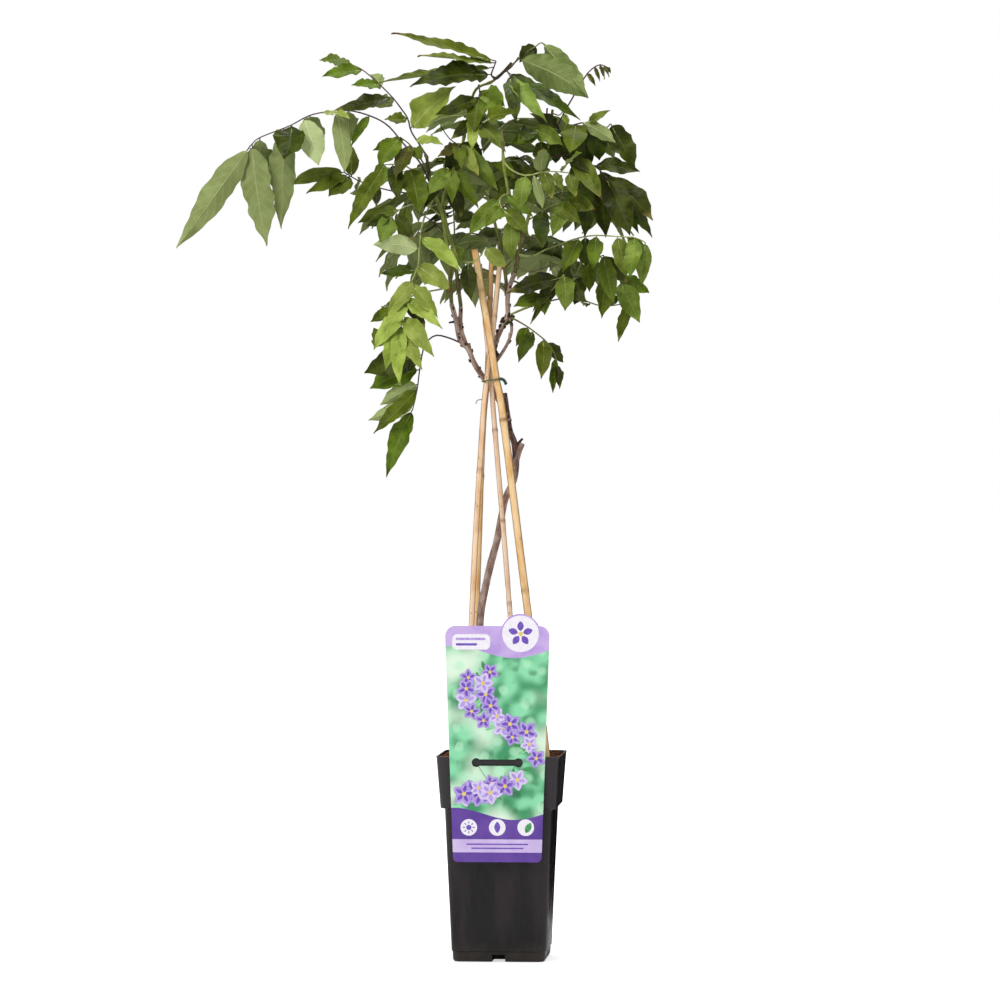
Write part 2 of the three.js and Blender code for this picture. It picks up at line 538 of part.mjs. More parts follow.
function pot() {
  const outside = squareSolid([[0, 0], ...POT_LEVELS, [0, POT_HEIGHT]]);
  const mouth = [[RIM_HALF - POT_WALL, POT_HEIGHT + OVER], [0, POT_HEIGHT + OVER]];
  let body = outside.subtract(squareSolid([[0, POT_FLOOR], ...CAVITY_LEVELS, ...mouth]));
  const middle = FOOT_HALF + OVER - CHANNEL.reach / 2;
  const drain = FOOT_HALF - CHANNEL.reach + DRAIN_INSET;
  for (let side = 0; side < 4; side++) {
    const out = V(0, -1, 0).applyAxisAngle(V(0, 0, 1), (side * Math.PI) / 2);
    const long = CHANNEL.reach + 2 * OVER;
    const across = side % 2 === 0 ? [CHANNEL.width, long] : [long, CHANNEL.width];
    body = body.subtract(box(...across, CHANNEL.height * 2, out.x * middle, out.y * middle, 0));
    body = body.subtract(upright(DRAIN_RADIUS, 0, POT_FLOOR + OVER, out.x * drain, out.y * drain));
  }
  return body;
}

// ---------------------------------------------------------------- soil

// Low lumps on the soil's surface, and none on its sides.
function soilLift(x, y, z) {
  if (z <= SOIL_TOP) return 0;
  return 0.8 * Math.sin(x * 0.21 + 1) * Math.cos(y * 0.17 + 2) + 0.5 * Math.sin(x * 0.43 - y * 0.37);
}

function soil(holes) {
  const inner = (half) => half - POT_WALL - SEAT;
  const sides = [[0, POT_FLOOR + SEAT], [inner(BASE_HALF), POT_FLOOR + SEAT],
    [inner(BODY_HALF), COLLAR_FOOT - 0.2], [inner(COLLAR_HALF), COLLAR_FOOT + 2.4],
    [inner(RIM_HALF) - 0.5, SOIL_TOP]];
  const top = [[38, 1], [19, 2.2], [0, SOIL_DOME]].map(([half, up]) => [half, SOIL_TOP + up]);
  return squareSolid([...sides, ...top], soilLift).subtract(holes);
}

// ---------------------------------------------------------------- label and tie

// The card hangs in front of the rim. Its outline is drawn flat and then stood up.
function label() {
  const { width, foot, low, high, thick, corner, footCorner } = LABEL;
  const card = new THREE.Shape();
  card.moveTo(-foot / 2 + footCorner, low);
  card.lineTo(foot / 2 - footCorner, low);
  card.quadraticCurveTo(foot / 2, low, foot / 2 + 0.2, low + footCorner);
  card.lineTo(width / 2, high - corner);
  card.quadraticCurveTo(width / 2, high, width / 2 - corner, high);
  card.lineTo(-width / 2 + corner, high);
  card.quadraticCurveTo(-width / 2, high, -width / 2, high - corner);
  card.lineTo(-foot / 2 - 0.2, low + footCorner);
  card.quadraticCurveTo(-foot / 2, low, -foot / 2 + footCorner, low);
  const front = -RIM_HALF - SEAT - thick;
  const stand = (shape, depth, segments) => solidFrom(
    new THREE.ExtrudeGeometry(shape, { depth, bevelEnabled: false, curveSegments: segments })
      .rotateX(Math.PI / 2).translate(0, front + depth, 0));
  const disc = new THREE.Shape().absarc(LABEL_DISC.x, LABEL_DISC.z, LABEL_DISC.radius, 0, Math.PI * 2);
  const { width: span, low: slotLow, high: slotHigh, bead } = LABEL_SLOT;
  const slotMiddle = (slotLow + slotHigh) / 2;
  const slot = box(span, thick * 4, slotHigh - slotLow, 0, front, slotMiddle);
  const beads = [-span / 2, span / 2].map((x) => {
    const shape = new THREE.CylinderGeometry(bead, bead, thick * 4, HOLE_SIDES);
    return solidFrom(shape.translate(x, front, slotMiddle));
  });
  return joined([stand(card, thick, 6), stand(disc, thick, 12)]).subtract(joined([slot, ...beads]));
}

// A wire loop round the four canes, slightly aslant, with its twisted ends at the right.
const TIE_LOOP = [[-5.5, -11.4, 491.6], [-1, -9, 492.2], [-0.6, -5, 492.3], [-9.2, 9.5, 491.4],
  [-12.8, 12.5, 490.8], [-16.3, 9, 490.2], [-16.6, -3, 489.8], [-14.6, -6.6, 490.2]];
const TIE_TAIL = [[-1.2, -9.4, 492.2], [1, -10.4, 491.4], [2.6, -10.2, 489.4]];

function tie() {
  const path = new THREE.CatmullRomCurve3(TIE_LOOP.map((p) => V(...p)), true);
  const loop = solidFrom(new THREE.TubeGeometry(path, TIE.steps, TIE.radius, TIE.sides, true));
  return loop.add(tube(TIE_TAIL, TIE.tailRadii, STEM_SIDES, 2));
}

// ---------------------------------------------------------------- leaves

const FACING = {
  F: V(0, -1, 0.45), // upper side towards the pot's front
  B: V(0, 1, 0.35), // upper side towards the back
  U: V(0, -0.3, 1), // level, tipped a little forwards
  E: V(0, -0.6, 0.8), // held out level, half turned to the front
};
const CROWN_AXIS = V(-15, 10, 0);

// The direction that a leaflet's upper side turns to. "O" is outwards and up.
function facingOf(code, middle) {
  if (code !== "O") return FACING[code].clone();
  const out = middle.clone().sub(CROWN_AXIS).setZ(0).normalize();
  return out.multiplyScalar(0.7).setZ(0.8);
}

// One leaflet: a blade with two margins and a keel under the midrib, bowed and waved.
function leaflet(foot, tip, width, code, seed) {
  const chord = tip.clone().sub(foot);
  const length = chord.length();
  const { stations, widths } = length >= LONG_FROM ? LONG_BLADE : SHORT_BLADE;
  const along = chord.normalize();
  const face = facingOf(code, foot.clone().lerp(tip, 0.5));
  face.addScaledVector(along, -face.dot(along)).normalize();
  const edge = along.clone().cross(face);
  const sway = (draw(seed) - 0.5) * BLADE_SWAY;
  const bend = foot.clone().lerp(tip, 0.5);
  const arch = code === "E" ? LEVEL_ARCH : BLADE_ARCH;
  bend.addScaledVector(face, 2 * arch * length).addScaledVector(edge, sway * length);
  const line = new THREE.QuadraticBezierCurve3(foot, bend, tip);
  const steps = stations.length - 1;
  const waveSign = draw(seed + 0.5) < 0.5 ? -1 : 1;
  const shape = new THREE.ConeGeometry(1, 1, 3, steps);
  const place = shape.attributes.position;
  for (let i = 0; i < place.count; i++) {
    const station = Math.round((place.getY(i) + 0.5) * steps);
    const side = Math.sign(Math.round(place.getX(i) * 100));
    const tangent = line.getTangent(stations[station]);
    const under = face.clone().addScaledVector(tangent, -face.dot(tangent)).normalize().negate();
    const across = tangent.clone().cross(under);
    const atFoot = station === 0;
    const half = atFoot ? STALKLET_HALF : (widths[station] * width) / 2;
    const swing = waveSign * (station % 2 === 0 ? 1 : -1) * BLADE_WAVE * width * widths[station];
    const keel = atFoot ? STALKLET_HALF : KEEL * Math.min(1, KEEL_LEAST + widths[station]);
    const isKeel = side === 0 && station < steps;
    const lowest = keel + Math.max(0, -swing); // the keel stays below margins that wave down
    const point = line.getPoint(stations[station]).addScaledVector(across, side * half);
    place.setXYZ(i, ...point.addScaledVector(under, isKeel ? lowest : -swing).toArray());
  }
  return solidFrom(shape);
}

// The rows of leaflets of a leaf that is set by rule, in pairs from the inside out.
function pairedRows(leaf, stalk, seed) {
  const line = lineThrough(stalk);
  const last = stalk.length - 1;
  const row = (place, side, size, turn) => {
    const along = line.getTangent(place / last);
    const reach = along.clone().cross(V(0, 0, 1)).normalize().multiplyScalar(side * SPRAY_ASIDE);
    reach.addScaledVector(along, side === 0 ? 1 : SPRAY_FORWARD);
    reach.z -= THREE.MathUtils.lerp(...SPRAY_DROOP, draw(turn));
    const tip = line.getPoint(place / last).addScaledVector(reach.normalize(), size);
    return [place, ...tip.toArray(), size * SPRAY_WIDTH, "O"];
  };
  const rows = [];
  for (let pair = 0; pair < SPRAY_PAIRS; pair++) {
    const place = last * (SPRAY_FROM + (SPRAY_SPAN * pair) / (SPRAY_PAIRS - 1));
    for (const side of [-1, 1]) {
      const turn = seed + pair * 2.3 + side;
      const size = leaf.length * THREE.MathUtils.lerp(...SPRAY_SIZES, draw(turn + 0.7));
      rows.push(row(place, side, size, turn));
    }
  }
  return [...rows, row(last, 0, leaf.length, seed + 50)];
}

// Leaflets given the same place spring a little apart, each further in than the one before.
function staggered(rows) {
  return rows.map(([at, ...rest], k) => {
    const before = rows.slice(0, k).filter((row) => row[0] === at).length;
    return [at - PAIR_SHIFT * before, ...rest];
  });
}

// A compound leaf: its stalk with the leaflets fused to it, cut clear of the line that carries it.
function compoundLeaf(leaf, index) {
  const [carrier, place] = leaf.on;
  const foot = placeOn(LINES[carrier].points, place);
  const seed = 31 * (index + 1);
  const arch = () => foot.clone().lerp(V(...leaf.tip), 0.5).add(V(0, 0, SPRAY_RISE)).toArray();
  const stalk = [foot.toArray(), ...(leaf.stalk ?? [arch(), leaf.tip])];
  const rows = leaf.leaflets ?? pairedRows(leaf, stalk, seed);
  const stalkTube = tube(stalk, STALK_RADII, STALK_SIDES, stalk.length > 4 ? 1 : 2);
  const blades = staggered(rows).map(([at, x, y, z, width, code], k) =>
    leaflet(placeOn(stalk, at), V(x, y, z), width, code, seed + k));
  return mainBody(joined([stalkTube, ...blades]).subtract(SEATS[WOOD[carrier] ? "wood" : carrier]));
}

// ---------------------------------------------------------------- the whole plant

const LINES = { ...WOOD, ...SHOOTS };

const woodTubes = (grow) => Object.values(WOOD).map(({ points, radii }) =>
  tube(points, radii, STEM_SIDES, 1, grow));
const shootTube = (name, grow = 0) => tube(SHOOTS[name].points, SHOOTS[name].radii, STEM_SIDES, 1, grow);
const caneTube = (name, grow = 0) => tube(CANES[name].points, CANES[name].radii, CANE_SIDES, 2, grow);

// What each carrying piece takes up, with the clearance round it.
const SEATS = { wood: joined(woodTubes(SEAT)) };
for (const name of Object.keys(SHOOTS)) SEATS[name] = shootTube(name, SEAT);

const plant = new THREE.Group();
plant.rotation.z = THREE.MathUtils.degToRad(PLANT_TURN);
for (const name of Object.keys(CANES)) plant.add(named(name, "cane", caneTube(name)));
plant.add(named("wood", "bark", joined(woodTubes(0))));
for (const name of Object.keys(SHOOTS)) {
  const seat = name === "shoot_front" ? SEATS.shoot_right : SEATS.wood;
  plant.add(named(name, "shoot", mainBody(shootTube(name).subtract(seat))));
}
[...FRONDS, ...SPRAYS].forEach((leaf, index) => {
  plant.add(named(leaf.name, leaf.tone, compoundLeaf(leaf, index)));
});
plant.add(named("tie", "tie", tie()));

const inGround = joined([...Object.keys(CANES).map((name) => caneTube(name, SEAT)), SEATS.wood]);

const group = new THREE.Group();
group.add(named("pot", "pot", pot()));
group.add(named("soil", "soil", soil(inGround.rotate([0, 0, PLANT_TURN]))));
group.add(named("label", "label", label()));
group.add(plant);

export default group;
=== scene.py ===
"""A young wisteria in a tall square nursery pot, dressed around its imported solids.

One class holds each sub-assembly and one small class each finish. Lengths are millimetres, and a
mesh is set into the part's own frame, in metres, when it is done. The plant's points are given in
the plant's frame, which stands turned about the pot's upright axis.
"""

from __future__ import annotations

import logging
import math
from dataclasses import dataclass, field
from enum import Enum, IntEnum
from functools import cache
from typing import Callable, Iterable, NamedTuple, Sequence

import bmesh
import bpy
from bmesh.types import BMEdge, BMesh, BMFace, BMVert
from bpy.types import Material, Node, NodeSocket, NodeTree, Object
from mathutils import Matrix, Vector, noise

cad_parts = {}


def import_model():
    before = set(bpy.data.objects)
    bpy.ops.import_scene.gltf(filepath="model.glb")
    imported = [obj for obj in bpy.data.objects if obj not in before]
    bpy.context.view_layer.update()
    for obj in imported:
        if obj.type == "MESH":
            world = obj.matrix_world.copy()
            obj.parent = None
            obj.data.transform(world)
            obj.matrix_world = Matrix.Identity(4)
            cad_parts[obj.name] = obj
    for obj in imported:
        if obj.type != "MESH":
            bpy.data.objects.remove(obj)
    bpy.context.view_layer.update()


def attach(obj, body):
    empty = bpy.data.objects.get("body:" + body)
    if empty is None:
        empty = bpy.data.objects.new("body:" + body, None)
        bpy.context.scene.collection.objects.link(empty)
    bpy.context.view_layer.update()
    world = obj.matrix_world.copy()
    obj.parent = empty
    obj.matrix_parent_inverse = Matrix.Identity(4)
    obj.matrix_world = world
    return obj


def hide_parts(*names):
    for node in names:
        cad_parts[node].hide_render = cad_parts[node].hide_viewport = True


LOG = logging.getLogger("wisteria")
Point = tuple[float, float, float]
Colour = tuple[float, float, float, float]

MM = 0.001
PLANT_TURN = 4.3  # degrees that the plant stands turned in its pot
POT_PLACE = Matrix.Scale(MM, 4)
PLANT_PLACE = Matrix.Rotation(math.radians(PLANT_TURN), 4, "Z") @ POT_PLACE
UP = Vector((0, 0, 1))

STRAIGHT = "straight"  # a tube's vertex as it lies when the tube is straightened, in metres
BLADE = "blade"  # a leaflet's vertex: across from -1 to 1, along from 0 to 1, and the leaflet's draw
MARK = "mark"  # how strongly a vertex is marked, as at a node, a scar or a cut, from 0 to 1


# ---------------- numbers and lines


def draw(seed: float) -> float:
    """A repeatable draw between 0 and 1.

    Args:
        seed: any number; the same seed gives the same draw.

    Returns:
        The draw.
    """
    wide = math.sin(seed * 12.9898) * 43758.5453
    return wide - math.floor(wide)


def lerp(low: float, high: float, share: float) -> float:
    """The number at a share of the way from low to high."""
    return low + (high - low) * share


def smooth(low: float, high: float, value: float) -> float:
    """A smooth step from 0 at low to 1 at high."""
    share = min(max((value - low) / (high - low), 0), 1)
    return share * share * (3 - 2 * share)


def spoke(angle: float, reach: float = 1, height: float = 0) -> Vector:
    """The point at an angle round the upright axis, at a reach and a height."""
    return Vector((math.cos(angle) * reach, math.sin(angle) * reach, height))


def paint(code: str) -> Colour:
    """A colour for a shader.

    Args:
        code: six hexadecimal digits, as on a colour chart.

    Returns:
        The linear colour with full opacity.
    """
    parts = [int(code[i : i + 2], 16) / 255 for i in (0, 2, 4)]
    linear = [p / 12.92 if p <= 0.04045 else ((p + 0.055) / 1.055) ** 2.4 for p in parts]
    return (linear[0], linear[1], linear[2], 1.0)


@dataclass(frozen=True)
class Line:
    """A smooth line through points. A place is counted along the points, such as 2.5."""

    points: tuple[Vector, ...]

    @classmethod
    def through(cls, points: Iterable[Sequence[float]]) -> Line:
        """The line through points given as plain numbers."""
        return cls(tuple(Vector(p) for p in points))

    @property
    def last(self) -> int:
        """The place of the line's end."""
        return len(self.points) - 1

    def _knot(self, index: int) -> Vector:
        """A point by its index, or one step past an end.

        Args:
            index: the point's index, from -1 to one past the last.

        Returns:
            The point.
        """
        if index < 0:
            return 2 * self.points[0] - self.points[1]
        if index > self.last:
            return 2 * self.points[-1] - self.points[-2]
        return self.points[index]

    def point(self, place: float) -> Vector:
        """The point at a place.

        Args:
            place: how far along, counted in the line's own points.

        Returns:
            The point, in the line's frame.
        """
        place = min(max(place, 0), self.last)
        span = min(int(place), self.last - 1)
        share = place - span
        before, start, end, after = (self._knot(span + k) for k in (-1, 0, 1, 2))
        leave = (end - before) / 2
        arrive = (after - start) / 2
        bend = 3 * (end - start) - 2 * leave - arrive
        twist = 2 * (start - end) + leave + arrive
        return start + share * (leave + share * (bend + share * twist))

    def tangent(self, place: float) -> Vector:
        """The direction of the line at a place, of length 1."""
        step = 1e-3
        return (self.point(place + step) - self.point(place - step)).normalized()

    def place_at_height(self, height: float) -> float:
        """The place where a line that only climbs reaches a height.

        Args:
            height: the height.

        Returns:
            The place, counted in the line's own points.
        """
        low, high = 0.0, float(self.last)
        for _ in range(30):
            middle = (low + high) / 2
            if self.point(middle).z < height:
                low = middle
            else:
                high = middle
        return low

    def length(self, end: float | None = None) -> float:
        """The length of the line, or of its stretch up to a place, near enough.

        Args:
            end: the place where the stretch ends, or None for the whole line.

        Returns:
            The length.
        """
        steps = self.last * 6
        end = self.last if end is None else end
        points = [self.point(end * k / steps) for k in range(steps + 1)]
        return sum((b - a).length for a, b in zip(points, points[1:]))


# ---------------- pieces


def as_object(name: str, bm: BMesh, place: Matrix) -> Object:
    """Turns a mesh in the making into an object in the scene.

    Args:
        name: the object's name.
        bm: the mesh in the making, which is used up.
        place: what sets it into the part's frame.

    Returns:
        The new object, at the origin, with its place in its mesh.
    """
    bmesh.ops.transform(bm, matrix=place, verts=bm.verts)
    mesh = bpy.data.meshes.new(name)
    bm.to_mesh(mesh)
    bm.free()
    made = bpy.data.objects.new(name, mesh)
    bpy.context.scene.collection.objects.link(made)
    return made


def finish_faces(faces: Iterable[BMFace], finish: int) -> None:
    """Gives faces a material number."""
    for face in faces:
        face.material_index = finish


def made_of(made: Iterable, kind: type) -> list:
    """The vertices, edges or faces among the geometry that an operator made."""
    return [item for item in made if isinstance(item, kind)]


@dataclass
class Piece:
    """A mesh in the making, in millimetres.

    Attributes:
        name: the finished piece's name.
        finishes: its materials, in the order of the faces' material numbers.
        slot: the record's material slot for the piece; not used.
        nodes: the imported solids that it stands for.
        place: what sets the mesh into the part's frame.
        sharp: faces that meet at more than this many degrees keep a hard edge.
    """

    name: str
    finishes: Sequence[Material]
    slot: str
    nodes: tuple[str, ...] = ()
    place: Matrix = field(default_factory=lambda: PLANT_PLACE.copy())
    sharp: float = 50
    bm: BMesh = field(default_factory=bmesh.new)

    def __post_init__(self) -> None:
        """Adds the layers that the finishes read."""
        self.straight = self.bm.verts.layers.float_vector.new(STRAIGHT)
        self.blade = self.bm.verts.layers.float_vector.new(BLADE)
        self.mark = self.bm.verts.layers.float.new(MARK)

    def finished(self) -> Object:
        """Turns the mesh into an object that rides with the part.

        Returns:
            The new object, at the origin.
        """
        bmesh.ops.recalc_face_normals(self.bm, faces=self.bm.faces)
        for face in self.bm.faces:
            face.smooth = True
        made = as_object(self.name, self.bm, self.place)
        made.data.set_sharp_from_angle(angle=math.radians(self.sharp))
        for finish in self.finishes:
            made.data.materials.append(finish)
        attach(made, "root")
        if self.nodes:
            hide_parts(*self.nodes)
        LOG.info("%s: %d faces", self.name, len(made.data.polygons))
        return made


@dataclass(frozen=True)
class Tube:
    """A round tube swept along a line by extruding a ring.

    Attributes:
        line: the line that it follows.
        radius: its radius at a share of the line.
        sides: the sides of its section.
        steps: the rings after the first.
        relief: how far its skin stands out, from the run along the tube and the angle round it.
        marked: how strongly the skin is marked, from the run along the tube.
    """

    line: Line
    radius: Callable[[float], float]
    sides: int = 8
    steps: int = 8
    relief: Callable[[float, float], float] = lambda run, angle: 0
    marked: Callable[[float], float] = lambda run: 0

    def _frames(self) -> list[Matrix]:
        """The place of each ring: its two directions across, the line's own, and its centre.

        Returns:
            The frames, from the first ring on.
        """
        across = Vector((0.31, 0.93, 0.17))
        frames = []
        for k in range(self.steps + 1):
            place = k / self.steps * self.line.last
            along = self.line.tangent(place)
            across = (across - along * across.dot(along)).normalized()
            frame = Matrix((across, across.cross(along), along)).transposed().to_4x4()
            frame.translation = self.line.point(place)
            frames.append(frame)
        return frames

    def add_to(self, piece: Piece, finish: int = 0) -> list[BMFace]:
        """Adds the closed tube to a piece.

        Args:
            piece: the piece that takes it.
            finish: the material number of its faces.

        Returns:
            The two end faces, first and last.
        """
        bm = piece.bm
        frames = self._frames()
        ring = bmesh.ops.create_circle(bm, segments=self.sides, radius=1)["verts"]
        for vert in ring:
            vert[piece.straight] = vert.co
        edges = list({edge for vert in ring for edge in vert.link_edges})
        first, sides, run = edges, [], 0.0
        for k, frame in enumerate(frames):
            if k > 0:
                made = bmesh.ops.extrude_edge_only(bm, edges=edges)["geom"]
                ring = made_of(made, BMVert)
                inside = set(ring)
                edges = [edge for edge in made_of(made, BMEdge) if inside.issuperset(edge.verts)]
                sides += made_of(made, BMFace)
                run += (frame.translation - frames[k - 1].translation).length
            radius = self.radius(k / self.steps)
            for vert in ring:
                angle = math.atan2(vert[piece.straight].y, vert[piece.straight].x)
                vert.co = frame @ spoke(angle, radius + self.relief(run, angle))
                vert[piece.straight] = spoke(angle, 1, run / radius) * radius * MM
                vert[piece.mark] = self.marked(run)
        caps = [bmesh.ops.edgeloop_fill(bm, edges=loop)["faces"][0] for loop in (first, edges)]
        finish_faces(sides + caps, finish)
        return caps


# ---------------- node trees


class Graph:
    """A node tree with short calls for the nodes that it holds."""

    def __init__(self, tree: NodeTree) -> None:
        """Takes a material's node tree, the world's or a shader node group."""
        self.tree = tree

    def fill(self, node: Node, inputs: dict) -> None:
        """Sets inputs of a node.

        Args:
            node: the node.
            inputs: a socket, a plain value or a colour's code for each named or numbered input.
        """
        for name, value in inputs.items():
            if isinstance(value, NodeSocket):
                self.tree.links.new(value, node.inputs[name])
            else:
                node.inputs[name].default_value = paint(value) if isinstance(value, str) else value

    def add(self, kind: str, inputs: dict | None = None, **settings: object) -> Node:
        """Adds a node.

        Args:
            kind: the node's type, without its ShaderNode prefix.
            inputs: what its inputs get, as for fill.
            **settings: the node's own properties.

        Returns:
            The node.
        """
        made = self.tree.nodes.new("ShaderNode" + kind)
        for name, value in settings.items():
            setattr(made, name, value)
        self.fill(made, inputs or {})
        return made

    def math(self, operation: str, *values: object, clamp: bool = False) -> NodeSocket:
        """A Math node's result for values or sockets."""
        inputs = dict(enumerate(values))
        return self.add("Math", inputs, operation=operation, use_clamp=clamp).outputs[0]

    def times(self, value: object, factor: object) -> NodeSocket:
        """The product of two values."""
        return self.math("MULTIPLY", value, factor)

    def scaled(self, value: object, factor: object, start: object) -> NodeSocket:
        """A value times a factor, plus a start."""
        return self.math("MULTIPLY_ADD", value, factor, start)

    def step(self, value: object, low: object, high: object, first: float = 0, last: float = 1
             ) -> NodeSocket:
        """A smooth step of a value, from first at low to last at high."""
        inputs = {"Value": value, "From Min": low, "From Max": high, "To Min": first, "To Max": last}
        return self.add("MapRange", inputs, interpolation_type="SMOOTHSTEP").outputs[0]

    def mix(self, factor: object, first: object, second: object) -> NodeSocket:
        """A mix of two colours, each a socket or a code."""
        return self.add("Mix", {0: factor, 6: first, 7: second}, data_type="RGBA").outputs[2]

    def noise(self, vector: object, scale: object, detail: float = 3, roughness: float = 0.55) -> NodeSocket:
        """Smooth noise from 0 to 1 at a scale in cells a metre."""
        inputs = {"Vector": vector, "Scale": scale, "Detail": detail, "Roughness": roughness}
        return self.add("TexNoise", inputs).outputs[0]

    def parts(self, vector: object) -> Sequence[NodeSocket]:
        """A vector's three parts."""
        return self.add("SeparateXYZ", {0: vector}).outputs

    def place(self) -> NodeSocket:
        """The Object coordinates, which lie still on the part."""
        return self.add("TexCoord").outputs["Object"]

    def attribute(self, name: str) -> Sequence[NodeSocket]:
        """What one of the mesh's own attributes holds, as Vector or as Fac."""
        return self.add("Attribute", attribute_name=name, attribute_type="GEOMETRY").outputs

    def mapped(self, vector: object, scale: Point) -> NodeSocket:
        """A vector stretched along its axes."""
        return self.add("Mapping", {"Vector": vector, "Scale": scale}).outputs[0]

    def group(self, tree: NodeTree, inputs: dict) -> Sequence[NodeSocket]:
        """The outputs of a shader node group with this material's own values."""
        return self.add("Group", inputs, node_tree=tree).outputs


class Effect(Graph):
    """A shader node group in the making."""

    def __init__(self, name: str, inputs: dict[str, str | float], outputs: dict[str, str]) -> None:
        """Starts the group.

        Args:
            name: the group's name.
            inputs: each input's kind, or a number for its first value.
            outputs: each output's kind.
        """
        super().__init__(bpy.data.node_groups.new(name, "ShaderNodeTree"))
        for side, sockets in (("INPUT", inputs), ("OUTPUT", outputs)):
            for label, value in sockets.items():
                kind = value if isinstance(value, str) else "Float"
                made = self.tree.interface.new_socket(label, in_out=side, socket_type="NodeSocket" + kind)
                if value is not kind:
                    made.default_value = value
        self.taken = self.tree.nodes.new("NodeGroupInput").outputs
        self.given = self.tree.nodes.new("NodeGroupOutput")

    def ended(self, **outputs: NodeSocket) -> NodeTree:
        """Sets the group's outputs and returns its tree."""
        self.fill(self.given, outputs)
        return self.tree


@cache
def mottle_group() -> NodeTree:
    """Soft patches of a second colour over a first.

    Returns:
        The group's tree.
    """
    inputs = {"Vector": "Vector", "Scale": 40.0, "Low": 0.4, "High": 0.6, "First": "Color", "Second": "Color"}
    graph = Effect("Mottle", inputs, {"Color": "Color", "Patch": "Float"})
    taken = graph.taken
    patch = graph.step(graph.noise(taken["Vector"], taken["Scale"], 4), taken["Low"], taken["High"])
    return graph.ended(Color=graph.mix(patch, taken["First"], taken["Second"]), Patch=patch)


@cache
def streaks_group() -> NodeTree:
    """Fibres that run along a stem, from its straightened coordinates.

    Returns:
        The group's tree.
    """
    inputs = {"Vector": "Vector", "Scale": 900.0, "Stretch": 0.03}
    graph = Effect("Streaks", inputs, {"Fibre": "Float", "Broad": "Float"})
    scale = graph.taken["Scale"]
    stretch = graph.add("CombineXYZ", {"X": 1.0, "Y": 1.0, "Z": graph.taken["Stretch"]}).outputs[0]
    along = graph.add("VectorMath", {0: graph.taken["Vector"], 1: stretch}, operation="MULTIPLY").outputs[0]
    broad = graph.noise(along, graph.times(scale, 0.3), 1, 0.5)
    return graph.ended(Fibre=graph.noise(along, scale, 3, 0.6), Broad=broad)


@cache
def specks_group() -> NodeTree:
    """Scattered round specks as a mask.

    Returns:
        The group's tree.
    """
    inputs = {"Vector": "Vector", "Scale": 300.0, "Size": 0.2, "Share": 0.3}
    graph = Effect("Specks", inputs, {"Mask": "Float"})
    taken = graph.taken
    cells = graph.add("TexVoronoi", {"Vector": taken["Vector"], "Scale": taken["Scale"]}).outputs
    near = graph.math("LESS_THAN", cells["Distance"], taken["Size"])
    chosen = graph.add("SeparateColor", {0: cells["Color"]}).outputs[0]
    return graph.ended(Mask=graph.times(near, graph.math("LESS_THAN", chosen, taken["Share"])))


@cache
def dust_group() -> NodeTree:
    """Dust that settles on what faces up, in patches.

    Returns:
        The group's tree.
    """
    graph = Effect("Dust", {"Vector": "Vector", "Scale": 120.0, "Amount": 0.5}, {"Mask": "Float"})
    facing = graph.step(graph.parts(graph.add("NewGeometry").outputs["Normal"])[2], 0.1, 0.9)
    broken = graph.step(graph.noise(graph.taken["Vector"], graph.taken["Scale"], 5, 0.65), 0.35, 0.65)
    return graph.ended(Mask=graph.times(graph.times(facing, broken), graph.taken["Amount"]))


@cache
def veins_group() -> NodeTree:
    """A leaflet's midrib and side veins, as masks and as relief, from its own coordinates.

    Returns:
        The group's tree.
    """
    outputs = dict.fromkeys(("Midrib", "Side", "Relief", "Margin"), "Float")
    graph = Effect("Veins", {"Blade": "Vector", "Count": 9.0, "Slope": 0.17}, outputs)
    across, along, _ = graph.parts(graph.taken["Blade"])
    out = graph.math("ABSOLUTE", across)
    reach = graph.scaled(along, -0.05, 0.085)
    midrib = graph.math("SUBTRACT", 1.0, graph.math("DIVIDE", out, reach), clamp=True)
    sweep = graph.times(graph.math("POWER", out, 1.25), graph.taken["Slope"])
    phase = graph.times(graph.math("SUBTRACT", along, sweep), graph.taken["Count"])
    wave = graph.math("PINGPONG", phase, 0.5)
    side = graph.times(graph.step(wave, 0.0, 0.09, 1, 0), graph.step(out, 0.7, 0.98, 1, 0))
    puff = graph.times(graph.step(wave, 0.0, 0.5), 0.35)
    relief = graph.math("SUBTRACT", graph.math("SUBTRACT", puff, midrib), graph.times(side, 0.3))
    return graph.ended(Midrib=midrib, Side=side, Relief=relief, Margin=graph.step(out, 0.9, 1.0))


